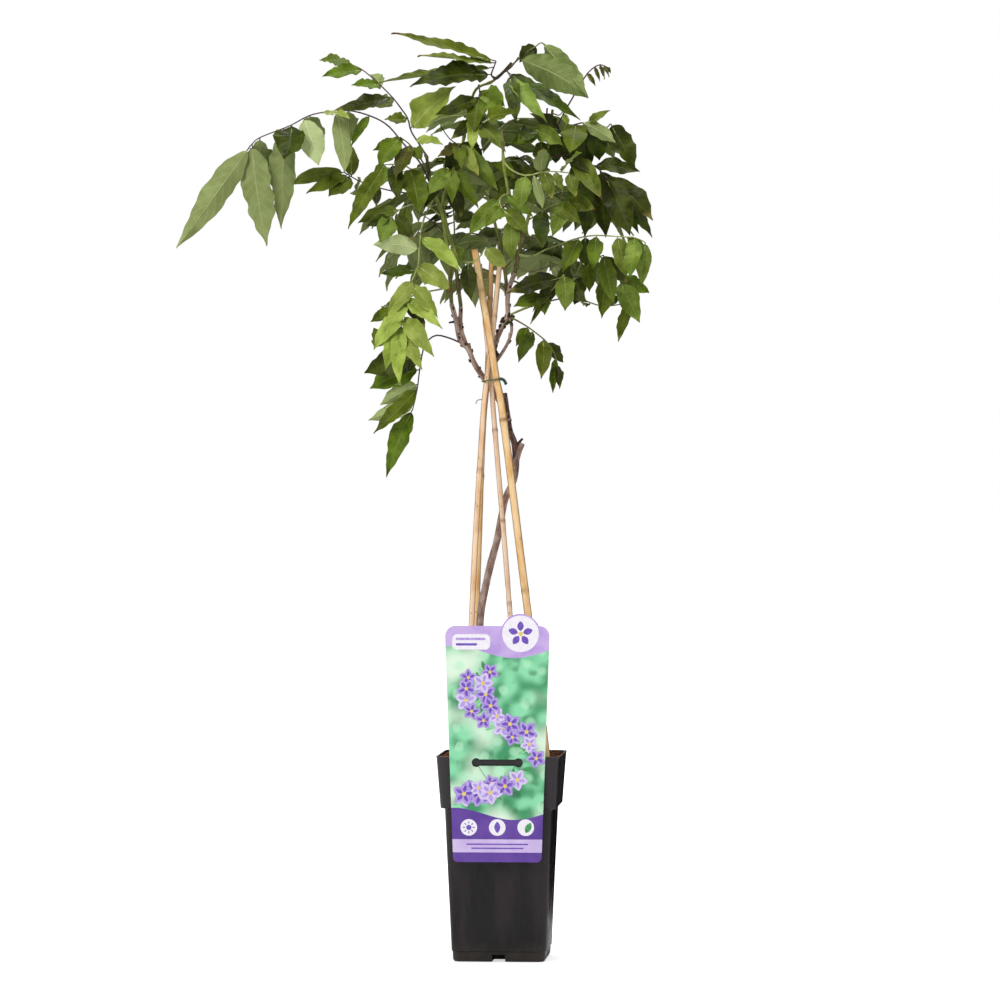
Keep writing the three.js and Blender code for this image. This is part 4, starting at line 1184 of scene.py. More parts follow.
LEAVES = (
    Leaf("leaf_far_left", "shoot_left", 3.1, MID, RUSSET, (
        (-70, -8, 676), (-84, -8, 692), (-97, -8, 707), (-112, -9, 715), (-130, -10, 719.5),
        (-146, -12, 718.5), (-163, -14, 715), (-180, -16, 706), (-205, -18, 696), (-213, -18, 689),
    ), (
        (10, (-275, -32, 602), 23, BACK), (10, (-199, -12, 605), 27, BACK), (8.2, (-188, 2, 620), 23, BACK),
        (7.9, (-184, -30, 677), 28, FRONT, DARK), (7.3, (-155, -24, 672), 21, BACK, YELLOW),
        (5.7, (-133, -28, 665), 15, BACK), (6.4, (-127, -36, 710.5), 10, UPWARD, YELLOW),
        (9, (-205, 34, 640), 20, BACK), (7, (-160, 32, 678), 20, BACK), (5, (-132, 26, 690), 16, BACK),
        (4, (-127.5, -16, 689), 8),
    )),
    Leaf("leaf_top_left", "shoot_left", 4, MID, RUSSET, (
        (-70, -5, 691), (-77, -4, 702), (-80, -4, 713), (-86, -4, 722), (-93, -4, 731), (-105, -4, 743),
        (-118, -4, 754), (-128, -4, 759),
    ), (
        (7, (-152, -16, 748), 13), (8, (-155, 0, 763), 14, UPWARD), (6, (-127, -16, 741), 12),
        (5, (-143, -12, 719), 14, FRONT, DARK), (4.8, (-112, 14, 725), 11, BACK), (3, (-99, -14, 712), 12),
        (2.2, (-40, -24, 739), 26, FRONT, YELLOW), (1.4, (-50, -24, 690), 11, FRONT, YELLOW),
        (6, (-112, 22, 752), 12, BACK),
    )),
    Leaf("leaf_tip_left", "shoot_tall", 8.2, DARK, RUSSET, (
        (-9, -4, 750), (-7, -8, 756), (-5, -11, 761),
    ), (
        (3, (-92, -30, 784), 13, LEVEL, MID), (2.7, (-70, -44, 764), 11, LEVEL, BRIGHT),
        (2, (-104, -20, 743), 13, LEVEL, MID), (1, (-77, -38, 738.5), 24),
    )),
    Leaf("leaf_tip_low", "shoot_tall", 7.2, MID, RUSSET, (
        (-19, -12, 736), (-19, -20, 730),
    ), (
        (2, (-56, -26, 715), 14, FRONT, DARK), (2, (-24, -34, 700), 17), (1.5, (2, -34, 712), 15),
        (1, (2, -30, 722), 18, FRONT, BRIGHT),
    )),
    Leaf("leaf_tip_right", "shoot_tall", 8.9, MID, RUSSET, (
        (5, -6, 752), (7, -12, 748),
    ), (
        (1, (66, -24, 711), 14, FRONT, DARK), (2, (38, -36, 708), 16, FRONT, BRIGHT),
        (2, (12, -44, 706), 14, FRONT, DARK),
    )),
    Leaf("leaf_top_right", "shoot_tall", 9, MID, OLIVE, (
        (11, 0, 761), (20, 2, 769), (29, 3, 775), (34, 5, 778), (42, 7, 772),
    ), (
        (1.4, (73, -24, 729), 27, BACK, DARK), (3, (15, 0, 761), 14, FRONT, DARK),
        (4, (71.5, -30, 731), 18, BACK, DARK), (4.5, (60, 40, 744), 14, BACK, DARK),
    )),
    Leaf("leaf_young", "shoot_right", 4.4, YELLOW, RUSSET, (
        (47, 1, 707), (52, 0, 717), (60, 0, 731), (70, 0, 748), (76, 0, 755), (83, 0, 759), (89, 0, 757),
    ), (
        (7, (92, -2, 752), 3, FRONT, BROWN), (6.6, (91, -6, 749), 3, FRONT, BROWN),
        (6, (87, -6, 747), 3.5, FRONT, BROWN), (5.4, (83, -6, 745), 3.5, FRONT, BROWN),
        (4.4, (79, -6, 741), 4, FRONT, BROWN), (2, (56, -6, 707), 6),
    )),
    Leaf("leaf_right_upper", "shoot_right", 4.2, MID, RUSSET, (
        (50, -4, 702), (66, -9, 709), (80, -10, 706), (86, -12, 703), (92, -13, 708),
    ), (
        (5, (113, -14, 670), 20, FRONT, DARK), (2.4, (91, -20, 719), 8, FRONT, BRIGHT),
        (2.1, (96, -28, 691), 12, BACK), (1.8, (57, -34, 682), 22), (1, (24, -22, 716), 14, FRONT, DARK),
        (4, (96, 16, 680), 16, BACK, DARK), (1.5, (60, 10, 674), 20, FRONT, DARK),
        (3, (83, 6, 678), 17, FRONT, DARK),
    ), (
        (1, (46, 14, 676), 16, FRONT, DARK), (2.2, (70, 20, 668), 18, FRONT, DARK),
    )),
    Leaf("leaf_right_dark", "shoot_right", 3.4, DARK, RUSSET, (
        (46, 0, 682), (60, -2, 680), (78, -4, 673), (90, -6, 662),
    ), (
        (3, (117, -6, 668), 14), (2, (84, -36, 643), 18, FRONT, BRIGHT), (4, (128, -14, 626), 22),
        (4, (108, -26, 613), 26), (3, (70, 14, 612), 18), (4, (128, 12, 613), 17), (1.4, (79, -22, 664), 9),
        (3.4, (88, -8, 612), 22),
    ), (
        (2.2, (66, 8, 626), 20), (3.6, (100, 10, 622), 20), (4, (116, 0, 616), 18),
    )),
    Leaf("leaf_right_row", "shoot_right", 0.7, BRIGHT, GREEN, (
        (25, -6, 596), (36, -14, 601), (50, -20, 606), (65, -24, 611), (80, -26, 613), (97, -28, 612),
        (112, -28, 611), (121, -27, 607),
    ), (
        (4, (51, -38, 582), 16, FRONT, MID), (5, (77, -38, 584), 13, FRONT, MID), (6, (105, -30, 577), 16),
        (7, (107, -44, 576), 15), (8, (118, -34, 570), 13), (4.4, (72, -6, 588), 14, FRONT, DARK),
        (6.5, (122, -2, 588), 14),
    )),
    Leaf("leaf_right_low", "shoot_right", 0.25, MID, OLIVE, (
        (24, 2, 583), (40, 4, 588), (56, 2, 590), (72, -2, 592), (86, -6, 597),
    ), (
        (5, (95, -14, 555), 15, FRONT, BRIGHT), (4, (74, -12, 566), 14),
        (5, (108, 10, 574), 15, FRONT, DARK), (3, (50, 22, 562), 14, FRONT, DARK),
    )),
    Leaf("leaf_right_bottom", "right_branch", 7.3, MID, OLIVE, (
        (24, 14, 572), (45, 16, 577), (70, 16, 580), (90, 14, 579), (101, 11, 576),
    ), (
        (5, (117, 2, 540), 19, FRONT, BRIGHT), (4, (85, 0, 544), 16), (5, (126, 24, 566), 14),
        (3, (62, 30, 556), 15, FRONT, DARK), (2, (33, 26, 553), 14, FRONT, DARK),
    )),
    Leaf("leaf_right_wavy", "right_branch", 5, MID, OLIVE, (
        (30, 26, 556), (60, 28, 562), (85, 26, 555), (108, 20, 557),
    ), (
        (4, (99, 14, 524), 10), (3.4, (92, 46, 566), 14, FRONT, DARK),
        (2.2, (70, 50, 556), 14, FRONT, DARK),
    )),
    Leaf("leaf_right_petiole", "right_branch", 5, BRIGHT, GREEN, (
        (16, -4, 551), (30, -13, 558), (42, -20, 567), (52, -26, 580),
    ), (
        (2.5, (36, -24, 546), 10), (4, (53, -36, 549), 17), (4, (4, -30, 564), 16, FRONT, DARK),
        (4, (72, -34, 556), 14, FRONT, DARK), (3, (26, -34, 549), 8, FRONT, DARK),
        (2.4, (10, -28, 553), 13, FRONT, MID),
    ), (
        (2.6, (24, -26, 538), 5, FRONT, DARK),
    )),
    Leaf("leaf_small_right", "right_branch", 5, MID, OLIVE, (
        (14, 0, 541), (22, -6, 536), (30, -10, 530), (38, -14, 523), (44, -16, 514), (47, -17, 504),
    ), (
        (2, (12, -14, 520), 10), (2.6, (14, -24, 506), 12, FRONT, DARK), (3.6, (33, -28, 492), 14),
        (6, (49, -20, 484), 8, FRONT, DARK), (5.4, (43, -12, 480), 7), (4, (52, -2, 506), 11, FRONT, DARK),
    ), (
        (0.6, (-2, 14, 541), 12, FRONT, DARK),
    )),
    Leaf("leaf_front_row", "shoot_front", 3.2, BRIGHT, GREEN, (
        (8, -50, 667), (20, -56, 662), (35, -60, 665), (45, -62, 665), (56, -62, 664),
    ), (
        (2, (15, -70, 631), 15), (2.4, (34, -74, 633), 8, BACK, MID), (3, (42, -70, 641), 11),
        (4, (51, -72, 648), 8), (5, (62, -68, 643), 11), (3, (34, -88, 683), 14, UPWARD, MID),
        (4.4, (66, -84, 680), 13, UPWARD, MID),
    )),
    Leaf("leaf_front_middle", "shoot_front", 2.2, BRIGHT, GREEN, (
        (3, -44, 647), (-2, -52, 642), (0, -60, 634), (8, -66, 625),
    ), (
        (2, (-28, -58, 611), 15), (3, (22, -78, 611), 17, FRONT, MID), (4, (9, -72, 589), 14),
        (3, (-14, -76, 618), 13, FRONT, MID), (1, (26, -52, 628), 14, FRONT, MID),
    )),
    Leaf("leaf_front_right", "shoot_front", 1.3, BRIGHT, GREEN, (
        (26, -28, 628), (40, -36, 637), (56, -40, 641),
    ), (
        (3, (42, -54, 611), 16), (2.4, (66, -56, 622), 14, FRONT, MID),
        (1.6, (34, -50, 602), 15, FRONT, DARK), (3, (78, -50, 634), 15, FRONT, MID),
    )),
    Leaf("leaf_cane_top", "shoot_tall", 1.1, YELLOW, GREEN, (
        (-33, -8, 592), (-22, -17, 592), (-14, -20, 603),
    ), (
        (3, (4, -26, 586), 14), (1.4, (-26, -22, 558), 14, FRONT, DARK),
        (1, (-40, -24, 604), 10, FRONT, BRIGHT),
    )),
    Leaf("leaf_yellow", "shoot_left", 2.6, YELLOW, GREEN, (
        (-66, -15, 628), (-69, -22, 612), (-70, -26, 600), (-71, -28, 587), (-77, -30, 572),
        (-80, -32, 560), (-83, -34, 545), (-86, -36, 532),
    ), (
        (2, (-35, -36, 582), 14), (2.9, (-109, -30, 605), 17, BACK), (4, (-43, -40, 566), 18),
        (4.2, (-103, -20, 581), 11, FRONT, DARK), (5, (-54, -46, 543), 15), (5, (-97, -38, 544), 15),
        (6, (-50, -54, 534), 14), (6, (-100, -44, 526), 13), (7, (-57, -58, 510), 15),
        (7, (-108, -48, 516), 14), (8, (-67, -60, 499), 14), (8, (-98, -52, 499), 14),
        (8, (-86, -60, 486), 14),
    )),
    Leaf("leaf_lower_left", "living_stem", 6.6, MID, RUSSET, (
        (-45, 5, 527), (-57, 5, 529), (-66, 3, 520), (-70, 1, 500), (-72, 0, 484), (-76, 0, 466),
    ), (
        (5, (-109, -14, 446), 16), (6, (-98, -10, 409), 17), (5, (-104, 8, 470), 16, BACK, BRIGHT),
        (5.7, (-114, 12, 457), 14, BACK, BRIGHT), (4, (-113, 16, 484), 21),
        (3.4, (-117, -6, 497), 27, FRONT, DARK),
    )),
    Leaf("leaf_left_behind", "shoot_left", 0.3, MID, OLIVE, (
        (-56, 14, 568), (-75, 22, 564), (-92, 24, 552), (-98, 24, 536),
    ), (
        (3, (-112, 14, 541), 12), (4, (-109, 16, 518), 18), (4, (-80, 26, 500), 18),
        (2.4, (-66, 34, 536), 15, FRONT, DARK), (3, (-101, 44, 556), 15),
    )),
    Leaf("leaf_left_lobes", "shoot_left", 2.8, MID, RUSSET, (
        (-75, 6, 650), (-92, 10, 652), (-108, 12, 656), (-122, 12, 661), (-134, 12, 668),
    ), (
        (5, (-181, 8, 657), 14, FRONT, BRIGHT), (5, (-166, -4, 650), 14), (4.6, (-147, -8, 647), 19),
        (4.5, (-129, 30, 692), 13), (3, (-107, 2, 639), 9, FRONT, DARK), (4, (-124, 38, 650), 15),
        (3, (-102, 36, 678), 14),
    )),
    Leaf("leaf_left_cluster", "shoot_left", 3.5, MID, OLIVE, (
        (-70, -14, 680), (-78, -20, 690), (-86, -24, 696),
    ), (
        (3, (-104, -34, 671), 18, FRONT, MID), (2.6, (-109, -24, 685), 11),
        (2, (-90, -40, 661), 17, FRONT, BROWN), (2, (-68, -34, 676), 12),
    )),
    Leaf("leaf_left_hanging", "shoot_left", 2.95, MID, GREEN, (
        (-70, -14, 664), (-84, -18, 673), (-99, -20, 673),
    ), (
        (3, (-130, -26, 619), 15), (1.6, (-69, -40, 631), 22), (2.6, (-88, -46, 640), 14, FRONT, DARK),
    )),
    Leaf("leaf_left_inner", "shoot_left", 1.8, BRIGHT, GREEN, (
        (-62, -6, 638), (-75, -10, 640), (-87, -16, 635), (-94, -20, 628),
    ), (
        (4, (-114, -26, 621), 10, FRONT, DARK), (4, (-103, -32, 607), 17),
        (3.4, (-74, -36, 607), 11, FRONT, DARK), (3, (-122, -16, 624), 13),
    ), (
        (2.4, (-84, 2, 606), 14), (3.6, (-112, -4, 628), 14),
    )),
    Leaf("leaf_tall_inner", "shoot_tall", 4.8, BRIGHT, GREEN, (
        (-38, -8, 691), (-35, -18, 691),
    ), (
        (2, (-54, -24, 680), 11, FRONT, BROWN), (2, (-19, -36, 662), 13, FRONT, YELLOW),
        (1.4, (-3, -26, 650), 14), (2, (-34, -46, 668), 12, FRONT, MID),
    ), (
        (1.6, (-14, 6, 672), 16, FRONT, DARK), (1, (-44, 10, 664), 14, FRONT, DARK),
    )),
    Leaf("leaf_tall_middle", "shoot_tall", 3.6, BRIGHT, GREEN, (
        (-47, -10, 670), (-45, -20, 669),
    ), (
        (2, (-62, -34, 647), 16), (2, (-42, -40, 640), 13), (1.4, (-20, -28, 636), 14, FRONT, MID),
        (1, (-66, -18, 636), 12, FRONT, DARK),
    ), (
        (1.5, (-34, 8, 628), 14, FRONT, DARK),
    )),
    Leaf("leaf_tall_upper", "shoot_tall", 6, MID, OLIVE, (
        (-25, -12, 715), (-20, -22, 708),
    ), (
        (2, (14, -54, 715), 17), (2, (3, -42, 683), 18, FRONT, BRIGHT),
        (2, (-43, -30, 694), 11, FRONT, DARK), (2, (-25, -42, 684), 11, FRONT, YELLOW),
    )),
    Leaf("leaf_middle_upper", "shoot_right", 3.9, MID, OLIVE, (
        (33, -10, 694), (26, -16, 704),
    ), (
        (2, (51, -32, 689), 16, FRONT, BRIGHT), (1.6, (8, -30, 690), 14),
        (1, (36, -26, 664), 14, FRONT, DARK), (2, (14, -52, 690), 14, FRONT, DARK),
    )),
    Leaf("leaf_middle_dark", "shoot_right", 2.6, DARK, OLIVE, (
        (20, -10, 656), (10, -18, 664),
    ), (
        (2, (-12, -24, 640), 15), (1.6, (34, -28, 672), 13), (1, (32, -32, 636), 15),
        (2, (-10, -34, 674), 12, FRONT, MID),
    ), (
        (1.2, (2, 6, 676), 16), (1.8, (20, 4, 640), 16), (2, (-4, 10, 650), 16),
    )),
)

SPRAYS = (
    Spray("spray_back_1", "shoot_back", 1.2, (40, 96, 600), 50, MID),
    Spray("spray_back_2", "shoot_back", 1.8, (-58, 98, 602), 48, DARK),
    Spray("spray_back_3", "shoot_back", 2.4, (60, 92, 660), 52, BRIGHT),
    Spray("spray_back_4", "shoot_back", 2.8, (-90, 96, 650), 50, MID),
    Spray("spray_back_5", "shoot_back", 3.4, (-8, 136, 670), 50, MID),
    Spray("spray_back_6", "shoot_back", 3.8, (32, 104, 720), 46, DARK),
    Spray("spray_back_7", "shoot_back", 4, (-38, 98, 728), 46, BRIGHT),
    Spray("spray_back_8", "shoot_back", 1.5, (0, 130, 622), 46, DARK),
    Spray("spray_side_1", "shoot_tall", 2, (-84, 58, 606), 46, MID),
    Spray("spray_side_2", "shoot_right", 2.2, (84, 62, 640), 48, MID),
    Spray("spray_inner_1", "shoot_right", 3.2, (6, 40, 672), 42, DARK),
    Spray("spray_inner_2", "shoot_tall", 0.8, (-42, 34, 640), 34, DARK),
    Spray("spray_inner_3", "shoot_back", 0.5, (-30, 42, 580), 38, MID),
    Spray("spray_inner_4", "shoot_tall", 3.3, (-45, 40, 682), 42, MID),
    Spray("spray_side_3", "shoot_right", 1.2, (72, 66, 592), 46, DARK),
)


# ---------------- stems


class Stick(NamedTuple):
    """A round stem: its line and its radii at the foot and the top."""

    line: Line
    radii: tuple[float, float]

    def radius(self, share: float) -> float:
        """Its radius at a share of its line."""
        return lerp(*self.radii, share)


def stick(points: Iterable[Sequence[float]], *radii: float) -> Stick:
    """A stem through points given as plain numbers."""
    return Stick(Line.through(points), radii)


CANES = {
    "cane_front": stick([(39, -31.4, 138), (37, -31, 176), (22.1, -22, 291), (1.3, -10, 456), (-5, -7, 492),
                         (-10.2, -6.5, 525), (-23.3, -5, 602)], 3.4, 3.1),
    "cane_left": stick([(-34, -27, 40), (-26, -20, 284), (-17.5, -8, 440), (-13, -3, 492), (-9.2, 0.4, 520),
                        (-1.8, 2.5, 590.5)], 2.5, 2.2),
    "cane_back": stick([(-30, 28, 40), (-22, 21, 284), (-16.5, 12, 440), (-12.8, 9, 492), (-8.9, 10, 593)],
                       2.5, 2.2),
    "cane_right": stick([(24, -7, 40), (6.8, -4, 291), (-6, 0.5, 448), (-9.6, 3.3, 492), (-19, 7, 590)],
                        2.3, 2),
}
WOOD = {
    "trunk": stick([(-14, 2, 118), (-15.5, 2, 170), (-17, 3, 230), (-18.7, 4, 285), (-12, 6, 325),
                    (-4.3, 8, 355), (2.6, 9.5, 389), (11, 9, 410), (11, 8, 434), (6.8, 7, 448), (4, 6.5, 466),
                    (2, 6, 480)], 3.7, 2.1),
    "pruned_stub": stick([(10, 9, 416), (14, 8, 430), (17, 7, 437)], 3, 2.4),
    "living_stem": stick([(6, 6.5, 456), (0, 11, 470), (-8, 18, 482), (-14, 17.5, 491), (-19, 13, 498),
                          (-24, 7, 506), (-28.6, 5, 517), (-35.7, 5, 526), (-39.4, 5, 543), (-43, 5, 556)],
                         2.7, 1.9),
    "left_fork": stick([(-30, 5, 519), (-35.2, 8, 537), (-35, 8, 553)], 1.9, 1.7),
    "right_branch": stick([(-5, 14, 477), (-6.8, 13.6, 500), (-7, 11.8, 514), (-4.6, 9.7, 526),
                           (0, 8, 536.5), (4.7, 6, 546), (4.8, 6, 561), (7.2, 5, 573), (10.8, 4, 582)],
                          2.5, 1.8),
    "right_twin": stick([(-5.6, 11.5, 506), (3.4, 8, 520), (8.2, 6, 534), (6, 6, 546)], 1.3, 1.2),
}
SHOOTS = {
    "shoot_left": stick([(-43, 5, 556.4), (-46, -1, 600), (-52, -5, 635), (-60, -6, 655), (-64, -6, 681)],
                        1.7, 1.3),
    "shoot_tall": stick([(-35, 8, 553.4), (-41, 7, 600), (-47, 6, 622), (-50, 4, 645), (-42, 4, 668),
                         (-34, 4, 690), (-28, 2, 720), (-22, 0, 738), (-8, 0, 745), (5, 0, 756)], 1.7, 1),
    "shoot_right": stick([(10.9, 4, 582.4), (16, 4, 605), (24, 4, 635), (33, 3, 665), (39, 2, 690),
                          (43, 2, 721)], 1.8, 1.2),
    "shoot_back": stick([(5, 6, 556), (3, 22, 580), (-4, 42, 618), (-14, 54, 655), (-22, 58, 695)], 1.7, 1.1),
    "shoot_front": stick([(15, 4, 600), (14, -12, 615), (8, -30, 640), (2, -42, 668), (0, -46, 700)],
                         1.5, 1.1),
}


# ---------------- pot and soil


def carve(made: Object, helper: Object, operation: str = "DIFFERENCE") -> None:
    """Cuts a helper out of a finished piece, or joins it on, and takes the helper away.

    Args:
        made: the piece.
        helper: the object to cut or join with.
        operation: the Boolean modifier's operation.
    """
    cut = made.modifiers.new("cut", "BOOLEAN")
    cut.object = helper
    cut.operation = operation
    cut.solver = "EXACT"
    cut.use_self = True
    bpy.context.view_layer.update()
    evaluated = made.evaluated_get(bpy.context.evaluated_depsgraph_get())
    shaped = bpy.data.meshes.new_from_object(evaluated)
    made.modifiers.clear()
    made.data = shaped
    bpy.data.objects.remove(helper)


class Level(NamedTuple):
    """A level of the pot's wall: half its width and its height."""

    half: float
    height: float


@dataclass(frozen=True)
class PotFinish:
    """Black moulded plastic with a soft shine, a painted sheen on the collar, faint drawn lines, smears and
    dust.

    Attributes:
        black: the main colour.
        worn: the colour of its paler patches.
        collar_sheen: the collar's colour, a painted sheen.
        dusty: the colour of the dust.
    """

    black: str = "0b0809"
    worn: str = "241c1e"
    collar_sheen: str = "353136"
    dusty: str = "75695e"

    def made(self) -> Material:
        """Makes the material.

        Returns:
            The material.
        """
        shade = Shading("pot_plastic", Specular_IOR_Level=0.4)
        place = shade.place()
        patches = shade.mottled(shade.mapped(place, (1, 1, 0.16)), 38, 0.42, 0.6, self.black, self.worn)
        height = shade.parts(place)[2]
        # painted sheen: the collar is lighter from about 125 mm up
        collar = shade.step(height, 0.125, 0.129, 0, 0.65)
        plastic = shade.mix(collar, patches["Color"], self.collar_sheen)
        splash = shade.noise(shade.mapped(place, (1, 1, 0.5)), 90, 5, 0.7)
        low = shade.step(shade.scaled(splash, 0.03, height), 0.012, 0.034, 1, 0)
        dust = shade.group(dust_group(), {"Vector": place, "Scale": 260.0, "Amount": 0.8})["Mask"]
        soiled = shade.math("MAXIMUM", dust, shade.times(low, 0.16))
        smears = shade.step(shade.noise(shade.mapped(place, (1, 1, 0.35)), 55, 3, 0.6), 0.42, 0.62)
        rough = shade.scaled(soiled, 0.4, shade.scaled(smears, 0.2, 0.22))
        lines = shade.noise(shade.mapped(place, (1, 1, 0.02)), 900, 2)
        normal = shade.bump(shade.scaled(lines, 0.6, smears), 0.35, 0.16)
        return shade.ended(Base_Color=shade.mix(soiled, plastic, self.dusty), Roughness=rough, Normal=normal)


@dataclass
class Pot:
    """The tall square pot: tapered walls, a wider collar, a stepped foot and its drain channels.

    Attributes:
        levels: the outside, from the ground up.
        cavity: the inside, from the rim down.
        corner: the corners' radius as a share of the half width.
        channel: a drain channel's width, length and height.
        drain: a drain hole's radius and its distance from the middle.
        soft: the radius of the softened edges.
    """

    levels: tuple[Level, ...] = (
        Level(38, 0), Level(39, 1.5), Level(39.4, 8.2), Level(40.2, 9), Level(45.6, 129),
        Level(49, 130), Level(52.1, 172.6), Level(52.5, 173.1), Level(52.5, 174),
    )
    cavity: tuple[Level, ...] = (Level(51.1, 174), Level(47.6, 132), Level(44.2, 129.5), Level(38.8, 7.6))
    corner: float = 0.17
    channel: Point = (11, 25, 6)
    drain: tuple[float, float] = (4, 20)
    soft: float = 0.35

    REACH = 40  # from the middle out to where the channels open
    BORE = (-5, 15)  # the heights between which a drain hole is cut
    SHARP = 35  # degrees from which an edge is one

    def _ring(self, bm: BMesh) -> list[BMEdge]:
        """The outline of a rounded square with half width 1, with its face taken out.

        Args:
            bm: the mesh in the making.

        Returns:
            The outline's edges.
        """
        bmesh.ops.create_grid(bm, x_segments=1, y_segments=1, size=1)
        bmesh.ops.bevel(bm, geom=bm.verts[:], offset=self.corner, affect="VERTICES", segments=8,
                        profile=0.5, material=-1)
        bmesh.ops.delete(bm, geom=bm.faces[:], context="FACES_ONLY")
        return bm.edges[:]

    def _shell(self, bm: BMesh) -> None:
        """Draws the wall up the outside, over the rim and down the inside, and closes both ends.

        Args:
            bm: the mesh in the making.
        """
        edges = self._ring(bm)
        first = edges
        scale = 1.0
        for k, level in enumerate([*self.levels, *self.cavity]):
            if k > 0:
                made = made_of(bmesh.ops.extrude_edge_only(bm, edges=edges)["geom"], BMEdge)
                edges = [edge for edge in made if all(len(v.link_edges) < 4 for v in edge.verts)]
            verts = list({vert for edge in edges for vert in edge.verts})
            bmesh.ops.scale(bm, verts=verts, vec=(level.half / scale, level.half / scale, 1))
            for vert in verts:
                vert.co.z = level.height
            scale = level.half
        for loop in (first, edges):
            bmesh.ops.edgeloop_fill(bm, edges=loop)

    def _cutter(self) -> Object:
        """The block of drain channels and holes that is cut away.

        Returns:
            The cutter, in the part's frame.
        """
        bm = bmesh.new()
        wide, reach, high = self.channel
        radius, out = self.drain
        for turn in range(4):
            cube = bmesh.ops.create_cube(bm, size=1)["verts"]
            bmesh.ops.scale(bm, verts=cube, vec=(wide, reach, high * 2))
            bmesh.ops.translate(bm, verts=cube, vec=(0, reach / 2 - self.REACH, 0))
            hole = Matrix.Translation((0, -out, sum(self.BORE) / 2))
            cone = bmesh.ops.create_cone(bm, cap_ends=True, segments=24, radius1=radius, radius2=radius,
                                         depth=self.BORE[1] - self.BORE[0], matrix=hole)["verts"]
            quarter = Matrix.Rotation(turn * math.pi / 2, 3, "Z")
            bmesh.ops.rotate(bm, verts=cube + cone, matrix=quarter)
        return as_object("cutter", bm, POT_PLACE)

    def build(self) -> Object:
        """Builds the pot, cut, and with its edges softened.

        Returns:
            The pot.
        """
        piece = Piece("pot_shell", [PotFinish().made()], "pot", ("pot",), POT_PLACE, self.SHARP)
        self._shell(piece.bm)
        made = piece.finished()
        carve(made, self._cutter())
        soften = made.modifiers.new("edges", "BEVEL")
        soften.width = self.soft * MM
        soften.segments = 2
        soften.limit_method = "ANGLE"
        soften.angle_limit = math.radians(self.SHARP)
        return made


@dataclass(frozen=True)
class SoilFinish:
    """Dark peat with reddish fibres and specks of pale grit."""

    peat: str = "432a1e"
    fibre: str = "8a4f33"
    grit: str = "a08a72"

    def made(self) -> Material:
        """Makes the material.

        Returns:
            The material.
        """
        shade = Shading("soil_peat", Roughness=0.95, Specular_IOR_Level=0.15)
        place = shade.place()
        mixed = shade.mottled(place, 420, 0.4, 0.62, self.peat, self.fibre)["Color"]
        colour = shade.mix(shade.specks(place, 700, 0.3, 0.12), mixed, self.grit)
        return shade.ended(Base_Color=colour, Normal=shade.bump(shade.noise(place, 900, 6, 0.75), 0.9, 1.2))


